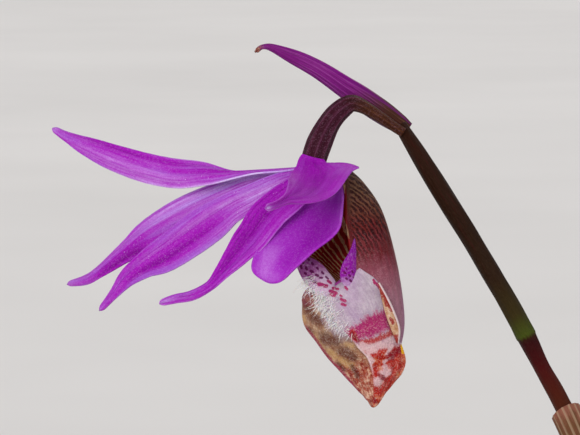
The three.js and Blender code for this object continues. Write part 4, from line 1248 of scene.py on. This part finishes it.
def make_bract():
    def relief(t, s):
        return 0.03 * np.cos(5.5 * math.pi * s) * smooth(0.9, 0.5, t) + 0.05 * wobble(t, 21) * s ** 2

    grid, t, s = blade_grid(BRACT, *MESH["bract"], relief=relief)
    thickness = THICKNESS["bract"] * (1 - 0.5 * np.abs(s) ** 4)
    fields = blade_fields(t, s, 16, 1.4)
    sheet("bract", grid, thickness, fields, bract_look(), slot="bract", nodes=["bract"])


def scape_stations():
    low = np.asarray(SCAPE_IN_POT, float)
    return np.vstack([SCAPE_IN_BLOOM, np.column_stack([to_bloom(low[:, :3]), low[:, 3]])])


def make_scape():
    stations = scape_stations()
    joint = SCAPE_JOINT / (len(stations) - 1)

    def stepped(radius, place, turn):
        above = smooth(joint + 0.0012, joint - 0.0012, place)
        furrows = 1 + 0.02 * np.cos(7 * turn + 3 * wobble(place, 31)) + 0.012 * np.cos(3 * turn + 1)
        swell = 1 + 0.035 * wobble(place, 33, 14)
        return (radius + 0.06 * above * smooth(joint - 0.03, joint, place)) * furrows * swell

    rings, place, turn = stem_rings(stations, *MESH["scape"], stepped)
    steps = np.linalg.norm(np.diff(rings.mean(axis=1), axis=0), axis=1)
    down = np.concatenate([[0], np.cumsum(steps)])
    below = down - np.interp(joint, place[:, 0], down)
    fields = {"below": below[:, None], "turn": turn}
    tubes("scape", rings[None], fields, scape_look(), slot="stem", nodes=["scape"])


def make_sheath(name, form, tip):
    """A tube round the scape, its mouth cut at a slant. Its last side repeats the first."""
    rows, sides = MESH["sheath"]
    reach = form["last"] - form["first"]
    share = np.linspace(0, 1, rows)[:, None]
    turn = turns(sides) * sides / (sides - 1)
    rib = np.abs(np.cos(7 * turn)) ** 4

    def radius_at(radius, place, _):
        open_share = np.clip((form["last"] - place) / reach, 0, 1)
        return radius + SHEATH_GAP + form["flare"] * open_share ** 2 + SHEATH_RIB * rib

    place = form["first"] + reach * share + form["slant"] * (1 - share) * np.sin(turn)
    grid, _, around = stem_rings(scape_stations(), rows, sides, radius_at, place)
    grid[:, -1] = grid[:, 0]
    fields = {"along": share, "turn": around, "rib": rib}
    look = sheath_look(name, tip)
    sheet(name, grid, form["wall"], fields, look, closed_from=0, slot="sheath", nodes=[name])


# The lip
def in_lip(side, front, down):
    side, front, down = (np.asarray(part)[..., None] for part in (side, front, down))
    return LIP_BASE + side * LIP_SIDE + front * LIP_FRONT + down * LIP_DOWN


def arc(points):
    """Counts the dark stripes of the pouch's side, which run round the throat"""
    x, z = points[:, 0] - STRIPES["x"], points[:, 2] - STRIPES["z"]
    return np.hypot(x, z) / STRIPES["pitch"]


def weave(points):
    """Counts the pale lines of the pouch's inside, which converge on the throat"""
    x, z = points[:, 0] - WEAVE["x"], points[:, 2] - WEAVE["z"]
    off = 0.69 * x + 0.72 * z - WEAVE["start"]
    run = 0.72 * x - 0.69 * z
    widened = 1 + off * (WEAVE["width"] + WEAVE["taper"] * run)
    return np.log(np.maximum(widened, 0.03)) / WEAVE["pitch"]


def make_pouch():
    rows, columns = MESH["pouch"]
    t = np.linspace(0.01, 1, rows)
    down, width, depth, centre = curve(POUCH, t).T[:, :, None]
    half_open = np.interp(down, *np.transpose(MOUTH))
    closed = half_open <= 0
    share = np.linspace(0, 1, columns)[None, :]
    angle = half_open + share * (TAU - 2 * half_open)
    rim = np.where(closed, 9.0, np.minimum(share, 1 - share) * (TAU - 2 * half_open) * width)
    relief = 0.035 * np.cos(30 * angle) * smooth(0.3, 1.5, rim) * smooth(1, 0.7, t)[:, None]
    relief = relief + 0.3 * np.exp(-rim / 0.35)
    grid = in_lip((width + relief) * np.sin(angle), centre + (depth + relief) * np.cos(angle), down)
    fields = {
        "down": down,
        "rim": rim,
        "flank": smooth(1.7, 2.3, angle) * smooth(TAU - 1.7, TAU - 2.3, angle),
        "fan": smooth(10.2, 7, down + 0.5 * rim) * smooth(0.1, 0.5, rim),
        "arc": arc,
        "weave": weave,
    }
    sheet(
        "lip_pouch", grid, THICKNESS["pouch"], fields, pouch_look(),
        closed_from=int(np.argmax(closed)), slot="lip", nodes=["lip"],
    )


def height_of(points):
    return points[:, 2]


def marks_of(rows):
    return lambda points: bars(points, rows)


def apron_grid(rows, columns):
    t = np.linspace(0, 1, rows + 1)[:, None]
    q = np.linspace(-1, 1, columns + 1)[None, :]
    far, keel, near = np.moveaxis(curve(APRON, t[:, 0]).reshape(-1, 1, 3, 3), 2, 0)
    side = np.where((q > 0)[..., None], near, far) - keel
    grid = keel + side * np.abs(q)[..., None]
    scale = np.linalg.norm(side, axis=-1) / 5.3
    bulge = np.where(q > 0, 0.75, 0.3) * scale * np.sin(math.pi * np.abs(q))
    crest = smooth(0.5, 0.58, t) * smooth(0.8, 0.7, t)
    step = 0.28 * smooth(0.0, 0.05, -q) * crest
    pleats = 0.05 * np.cos(9 * math.pi * q + 2 * wobble(t, 41))
    pleats = pleats * smooth(0.5, 0.75, t) * smooth(0.05, 0.3, np.abs(q))
    grid[..., 1] += step - bulge + pleats + 0.05 * rumple(grid, 43, 2.5)
    return grid, t, q, crest


def make_apron():
    grid, t, q, crest = apron_grid(*MESH["apron"])
    marks = {
        "dashes": THROAT_DASHES, "magentas": MAGENTAS, "reds": REDS, "pales": PALES,
        "crimsons": CRIMSONS, "browns": BROWNS, "golds": GOLDS, "yellows": YELLOWS,
        "violet": VIOLETS,
    }
    fields = {key: marks_of(rows) for key, rows in marks.items()}
    fields |= {
        "along": t, "across": q, "crest": crest, "tuft": smooth(0.56, 0.44, t), "height": height_of,
    }
    sheet("lip_apron", grid, THICKNESS["apron"], fields, apron_look(), slot="lip")


def make_lobes():
    for name, stations, colours in [
        ("lip_near_lobe", NEAR_LOBE, ("74108a", "8c1096", "c8a0cc", 0.12, 0.84)),
        ("lip_far_lobe", FAR_LOBE, ("8e2c86", "a85a9c", "c4aac0", 0.5, 0.6)),
    ]:
        grid, t, s = blade_grid(stations, *MESH["lobe"], tip=0.93)
        fields = {"along": t, "spots": marks_of(LOBE_SPOTS), "dashes": marks_of(THROAT_DASHES)}
        thickness = THICKNESS["lobe"] * (1 - 0.5 * s ** 4)
        sheet(name, grid, thickness, fields, lobe_look(name, *colours), slot="lip")
    grid, t, s = blade_grid(LIP_FOLD, *MESH["fold"])
    fields = {"along": t, "across": s, "marks": marks_of(FOLD_MARKS)}
    sheet("lip_fold", grid, THICKNESS["fold"], fields, fold_look(), slot="lip")


def make_horns():
    look = lobe_look("lip_horns", "b08a5a", "c0a060", "d8b850")
    side, front, down, radius = np.transpose(HORN)
    for name, sign in [("lip_horn_near", 1), ("lip_horn_far", -1)]:
        rows = np.column_stack([in_lip(sign * side, front, down), radius])
        rings, place, _ = stem_rings(rows, *MESH["horn"])
        fields = {"along": place, "spots": NO_MARK, "dashes": NO_MARK}
        tubes(name, rings[None], fields, look, slot="lip")


def drawn(draw, count, *rows):
    """Random vectors, from the mean and the spread of each coordinate"""
    return np.stack([draw.normal(mean, spread, count) for mean, spread in rows], axis=1)


def make_hairs():
    """The tuft of white hairs that hangs from the throat over the far half of the apron"""
    draw = np.random.default_rng(SEEDS["hairs"])
    steps, sides = MESH["hair"]
    rows, columns = 120, 100
    grid, *_ = apron_grid(rows, columns)
    t = draw.beta(1.1, 1.5, HAIRS) * 0.47 + 0.03
    place = draw.normal(-0.02, 0.09, HAIRS) + 0.22 * draw.uniform(0, 1, HAIRS) ** 2
    place = place - 0.45 * smooth(0.22, 0.05, t) * draw.uniform(0, 1, HAIRS)
    column = (np.clip(place, -0.5, 0.6) + 1) * columns / 2
    roots = grid[(t * rows).astype(int), column.astype(int)]
    rows, columns = 60, 40
    lobe, *_ = blade_grid(FAR_LOBE, rows, columns, tip=0.93)
    on_lobe = draw.uniform(0, 1, HAIRS) < 0.28
    row = rows * draw.uniform(0.5, 0.98, HAIRS)
    column = (draw.uniform(-0.3, 0.95, HAIRS) + 1) * columns / 2
    roots = np.where(on_lobe[:, None], lobe[row.astype(int), column.astype(int)], roots)
    bare = np.exp(-((roots[:, 0] - 1.5) / 0.7) ** 2 - ((roots[:, 2] + 11) / 0.6) ** 2)
    length = draw.uniform(0.4, 1.6, HAIRS) * (1 - 0.8 * bare) * (1.1 - 1.3 * t)
    length = length * (1 - 0.9 * np.clip(place, 0, 0.8))
    lean = unit(drawn(draw, HAIRS, (-0.68, 0.25), (-0.45, 0.25), (-0.5, 0.3)))[:, None]
    bend = drawn(draw, HAIRS, (0, 0.5), (0.35, 0.25), (-0.3, 0.5))[:, None]
    u = np.linspace(0, 1, steps)[None, :, None]
    paths = roots[:, None] + (lean * u + bend * u ** 2 * 0.6) * length[:, None, None]
    radii = 0.034 * (1 - 0.75 * u[..., 0]) * draw.uniform(0.7, 1.2, (HAIRS, 1))
    tubes("lip_hairs", strands(paths, radii, sides), {"along": u}, hair_look(), slot="lip")


# The plant's foot and the pot
def make_leaf():
    def relief(t, s):
        opened = np.sin(math.pi * np.minimum(t * 1.1, 1))
        pleat = LEAF_PLEATS["depth"] * opened * np.cos(LEAF_PLEATS["folds"] * math.pi * s)
        ripple = LEAF_PLEATS["ripple"] * opened * s ** 3
        return pleat + ripple * np.sin(TAU * LEAF_PLEATS["ripples"] * t)

    def furrowed(radius, place, turn):
        return radius * (1 + 0.05 * np.cos(6 * turn))

    grid, t, s = blade_grid(LEAF, *MESH["leaf"], tip=0.985, relief=relief)
    fields = blade_fields(t, s, 46, 13, vein=veins_at(t, s, 15, 0.012, 101, 0.0) * smooth(0.99, 0.9, t))
    thickness = THICKNESS["leaf"] * (1 - 0.5 * np.abs(s) ** 6)
    look = leaf_look()
    common = {"slot": "leaf_green", "in_bloom": False}
    sheet("leaf", grid, thickness, fields, look, nodes=["leaf"], **common)
    rings, place, turn = stem_rings(PETIOLE, *MESH["stalk"], furrowed)
    fields = {"run": place * 18, "reach": turn, "back": 0.0, "vein": 0.0, "across": 0.0}
    tubes("leaf_stalk", rings[None], fields, look, **common)


def make_corm():
    t, turn = ball(MESH["corm"])
    up = np.cos(t)
    ring = sum(np.exp(-((up - level) / 0.035) ** 2) for level in (0.75, 0.4, 0.02))
    size = CORM["radius"] * np.sin(t) * (1 - 0.03 * ring + 0.02 * np.cos(9 * turn + 4 * up))
    rings = (CORM["centre"] + turned(size, turn, CORM["half_height"] * up))[None]
    fields = {"up": up * 5, "turn": turn, "ring": ring}
    tubes("corm", rings, fields, corm_look(), slot="corm_skin", nodes=["corm"], in_bloom=False)


def pot_inner_radius(z):
    return POT["foot"] + (POT["body"] - POT["foot"]) * z / POT["rim_base"] - POT["wall"]


def soil_height(points):
    x, y = points[..., 0], points[..., 1]
    bumps = np.sin(0.31 * x + 1.3) * np.cos(0.27 * y) + 0.6 * np.sin(0.53 * y - 0.41 * x)
    return SOIL_TOP + SOIL_BUMP * bumps


def make_soil():
    rows, sides = MESH["soil"]
    radius = pot_inner_radius(SOIL_TOP) - 0.5
    share = np.linspace(0, 1, rows)[:, None]
    top = turned(radius * share, turns(sides))
    top[..., 2] = soil_height(top) + 0.35 * rumple(top, 61, 5) + 0.2 * rumple(top, 62, 1.8) - 0.15
    floor = POT["floor"] + SHEATH_GAP
    foot = top[-1:].copy()
    foot[..., :2] *= (pot_inner_radius(floor) - 0.5) / radius
    foot[..., 2] = floor
    middle = top[0].mean(axis=0)
    top[0] = middle + (top[1] - middle) * 0.02
    rings = np.concatenate([top, foot])[None]
    tubes("soil", rings, {}, soil_look(), slot="soil", nodes=["soil"], in_bloom=False)


def scattered(draw, count, keep_out=6.8):
    """Random places on the soil, clear of the corm"""
    radius = pot_inner_radius(SOIL_TOP) - 1.6
    places = []
    while len(places) < count:
        x, y = draw.uniform(-radius, radius, 2)
        if math.hypot(x, y) < radius and math.dist((x, y), CORM["centre"][:2]) > keep_out:
            places.append([x, y, 0.0])
    places = np.array(places)
    places[:, 2] = soil_height(places)
    return places


def make_crumbs():
    draw = np.random.default_rng(SEEDS["crumbs"])
    rows, sides = MESH["crumb"]
    t, turn = ball((rows, sides), 0.15)
    pebble = turned(np.sin(t), turn, np.cos(t))
    size = draw.gamma(2, 0.28, (CRUMBS, 1, 1, 1)) + 0.3
    rough = 1 + 0.22 * draw.normal(size=(CRUMBS, rows, sides, 1))
    squash = draw.uniform(0.6, 1.1, (CRUMBS, 1, 1, 3))
    rings = scattered(draw, CRUMBS)[:, None, None] + pebble * size * rough * squash
    tubes("soil_crumbs", rings, {}, soil_look("crumbs", "7a5e45"), slot="soil", in_bloom=False)


def make_moss():
    draw = np.random.default_rng(SEEDS["moss"])
    steps, sides = MESH["moss"]
    centres = scattered(draw, CUSHIONS, 9)
    cushion = draw.integers(0, CUSHIONS, MOSS_STEMS)
    spread = draw.normal(0, 1, (MOSS_STEMS, 2)) * draw.uniform(1.2, 3.2, CUSHIONS)[cushion][:, None]
    roots = centres[cushion].copy()
    roots[:, :2] += spread
    off_corm = roots[:, :2] - CORM["centre"][:2]
    inside = np.hypot(*roots[:, :2].T) < pot_inner_radius(SOIL_TOP) - 1.2
    inside &= np.hypot(*off_corm.T) > 7
    roots, spread = roots[inside], spread[inside]
    roots[:, 2] = soil_height(roots) - 0.2
    count = len(roots)
    tall = (1.2 + 2.2 * np.exp(-(np.hypot(*spread.T) / 3.2) ** 2)) * draw.uniform(0.7, 1.2, count)
    u = np.linspace(0, 1, steps)[None, :, None]
    lean = np.column_stack([draw.normal(0, 0.3, (count, 2)) + spread * 0.06, np.ones(count)])[:, None]
    curl = np.column_stack([draw.normal(0, 0.35, (count, 2)), np.full(count, -0.15)])[:, None]
    paths = roots[:, None] + (lean * u + curl * u ** 2) * tall[:, None, None]
    radii = 0.2 * np.sin(math.pi * (0.18 + 0.8 * u[..., 0])) * draw.uniform(0.7, 1.2, (count, 1))
    tubes("moss", strands(paths, radii, sides), {"along": u}, moss_look(), in_bloom=False)


def make_litter():
    """Dry needles that lie on the soil, each slightly bent"""
    draw = np.random.default_rng(SEEDS["needles"])
    steps, sides = MESH["needle"]
    middle = scattered(draw, NEEDLES, 10)
    heading = draw.uniform(0, TAU, NEEDLES)[:, None]
    length = draw.uniform(5, 13, NEEDLES)[:, None]
    u = np.linspace(-0.5, 0.5, steps)[None, :]
    bent = draw.normal(0, 0.1, (NEEDLES, 1)) * u ** 2
    x = middle[:, :1] + length * (u * np.cos(heading) - bent * np.sin(heading))
    y = middle[:, 1:2] + length * (u * np.sin(heading) + bent * np.cos(heading))
    past_edge = np.maximum(np.hypot(x, y) / (pot_inner_radius(SOIL_TOP) - 1), 1)
    paths = np.stack([x / past_edge, y / past_edge, 0 * x], axis=-1)
    paths[..., 2] = soil_height(paths) + 0.9 + 0.4 * draw.normal(0, 1, (NEEDLES, 1)) ** 2
    paths[..., 2] += 0.5 * draw.normal(0, 1, (NEEDLES, 1)) * u
    tapered = np.sin(math.pi * np.clip(u + 0.52, 0.02, 0.98)) ** 0.4
    radii = 0.3 * tapered * draw.uniform(0.7, 1.1, (NEEDLES, 1))
    tubes("needle_litter", strands(paths, radii, sides), {}, litter_look(), in_bloom=False)


def make_pot():
    edge = 1.2
    inner = pot_inner_radius(POT["height"])
    corners = [
        [POT["drain"], 0], [POT["foot"] - edge, 0], [POT["foot"], edge],
        [POT["body"], POT["rim_base"] - edge], [POT["rim"] - edge, POT["rim_base"] - edge],
        [POT["rim"], POT["rim_base"]], [POT["mouth"], POT["height"] - edge],
        [POT["mouth"] - edge, POT["height"]], [inner + edge, POT["height"]],
        [inner, POT["height"] - edge], [pot_inner_radius(POT["floor"]), POT["floor"]],
        [POT["drain"], POT["floor"]], [POT["drain"], 0],
    ]
    profile = rounded_profile(np.array(corners, float), 0.7, 0.8)
    turn = turns(POT_SIDES)
    radius, height = profile[:, :1], profile[:, 1:]
    points = turned(radius, turn, height)
    wear = np.minimum(0.08 * rumple(points, 95, 22) + 0.03 * rumple(points, 96, 6), 0)
    points = points + turned(wear * smooth(0.5, 3.0, height), turn)
    index = np.arange(len(points) * POT_SIDES).reshape(-1, POT_SIDES)
    index = np.column_stack([index, index[:, 0]])
    index[-1] = index[0]
    fields = {"height": height_of}
    options = {"slot": "terracotta", "nodes": ["pot"], "in_bloom": False}
    add_piece("pot", points.reshape(-1, 3), quads_of(index), fields, pot_look(), **options)


def rounded_profile(corners, radius, spacing):
    """A closed outline with its corners rounded and its straight runs divided"""
    outline = []
    befores = np.vstack([corners[-2], corners[:-2]])
    for before, corner, after in zip(befores, corners[:-1], corners[1:]):
        back, ahead = before - corner, after - corner
        reach = min(radius, np.linalg.norm(back) / 2.2, np.linalg.norm(ahead) / 2.2)
        start, end = corner + unit(back) * reach, corner + unit(ahead) * reach
        for u in np.linspace(0, 1, 6):
            outline.append((1 - u) ** 2 * start + 2 * u * (1 - u) * corner + u ** 2 * end)
    closed = np.array(outline + outline[:1])
    divided = []
    for a, b in zip(closed[:-1], closed[1:]):
        pieces = max(1, int(np.linalg.norm(b - a) / spacing / 2))
        divided.extend(a + (b - a) * k / pieces for k in range(pieces))
    return np.array(divided + divided[:1])


# The stage
def make_camera():
    camera = bpy.data.cameras.new("camera")
    camera.sensor_width = SENSOR_WIDTH
    camera.lens = SENSOR_WIDTH * CAMERA_DISTANCE / PICTURE_WIDTH
    camera.clip_start = 0.02
    camera.clip_end = 100
    holder = bpy.data.objects.new("camera", camera)
    aim = Vector(to_pot(CAMERA_AIM) * MM)
    stand = Vector(to_pot(CAMERA_AIM - np.array([0.0, CAMERA_DISTANCE, 0.0])) * MM)
    holder.location = stand
    holder.rotation_euler = (aim - stand).to_track_quat("-Z", "Y").to_euler()
    bpy.context.scene.collection.objects.link(holder)
    bpy.context.scene.camera = holder


def make_floor():
    mesh = bpy.data.meshes.new("floor")
    corners = [(-1, -1), (1, -1), (1, 1), (-1, 1)]
    reach = FLOOR_REACH * MM
    mesh.from_pydata([(x * reach, y * reach, 0) for x, y in corners], [], [(0, 1, 2, 3)])
    look = Look("floor")
    tone = 0.5 + look.place().noise(0.004, 3.0) * 0.5
    mesh.materials.append(look.done(tone.shades("dedcd8", "e6e4e0"), 0.9, Specular_IOR_Level=0.2))
    floor = bpy.data.objects.new("floor", mesh)
    bpy.context.scene.collection.objects.link(floor)


def make_lights():
    world = bpy.data.worlds.new("studio")
    world.use_nodes = True
    background = world.node_tree.nodes["Background"]
    background.inputs["Color"].default_value = colour_of("f4f2f6")
    background.inputs["Strength"].default_value = SKY_STRENGTH
    bpy.context.scene.world = world
    for name, (direction, strength, spread) in LIGHTS.items():
        sun = bpy.data.lights.new(name, "SUN")
        sun.energy = strength
        sun.angle = math.radians(spread)
        holder = bpy.data.objects.new(name, sun)
        holder.rotation_euler = (-Vector(direction)).to_track_quat("-Z", "Y").to_euler()
        bpy.context.scene.collection.objects.link(holder)
    bpy.context.scene.view_settings.view_transform = "Standard"


make_camera()
make_tepals()
make_column()
make_anther()
make_ovary()
make_bract()
make_scape()
make_sheath("upper_sheath", UPPER_SHEATH, "98604e")
make_sheath("lower_sheath", LOWER_SHEATH, "9a8660")
make_pouch()
make_apron()
make_lobes()
make_horns()
make_hairs()
make_leaf()
make_corm()
make_soil()
make_crumbs()
make_moss()
make_litter()
make_pot()
make_floor()
make_lights()
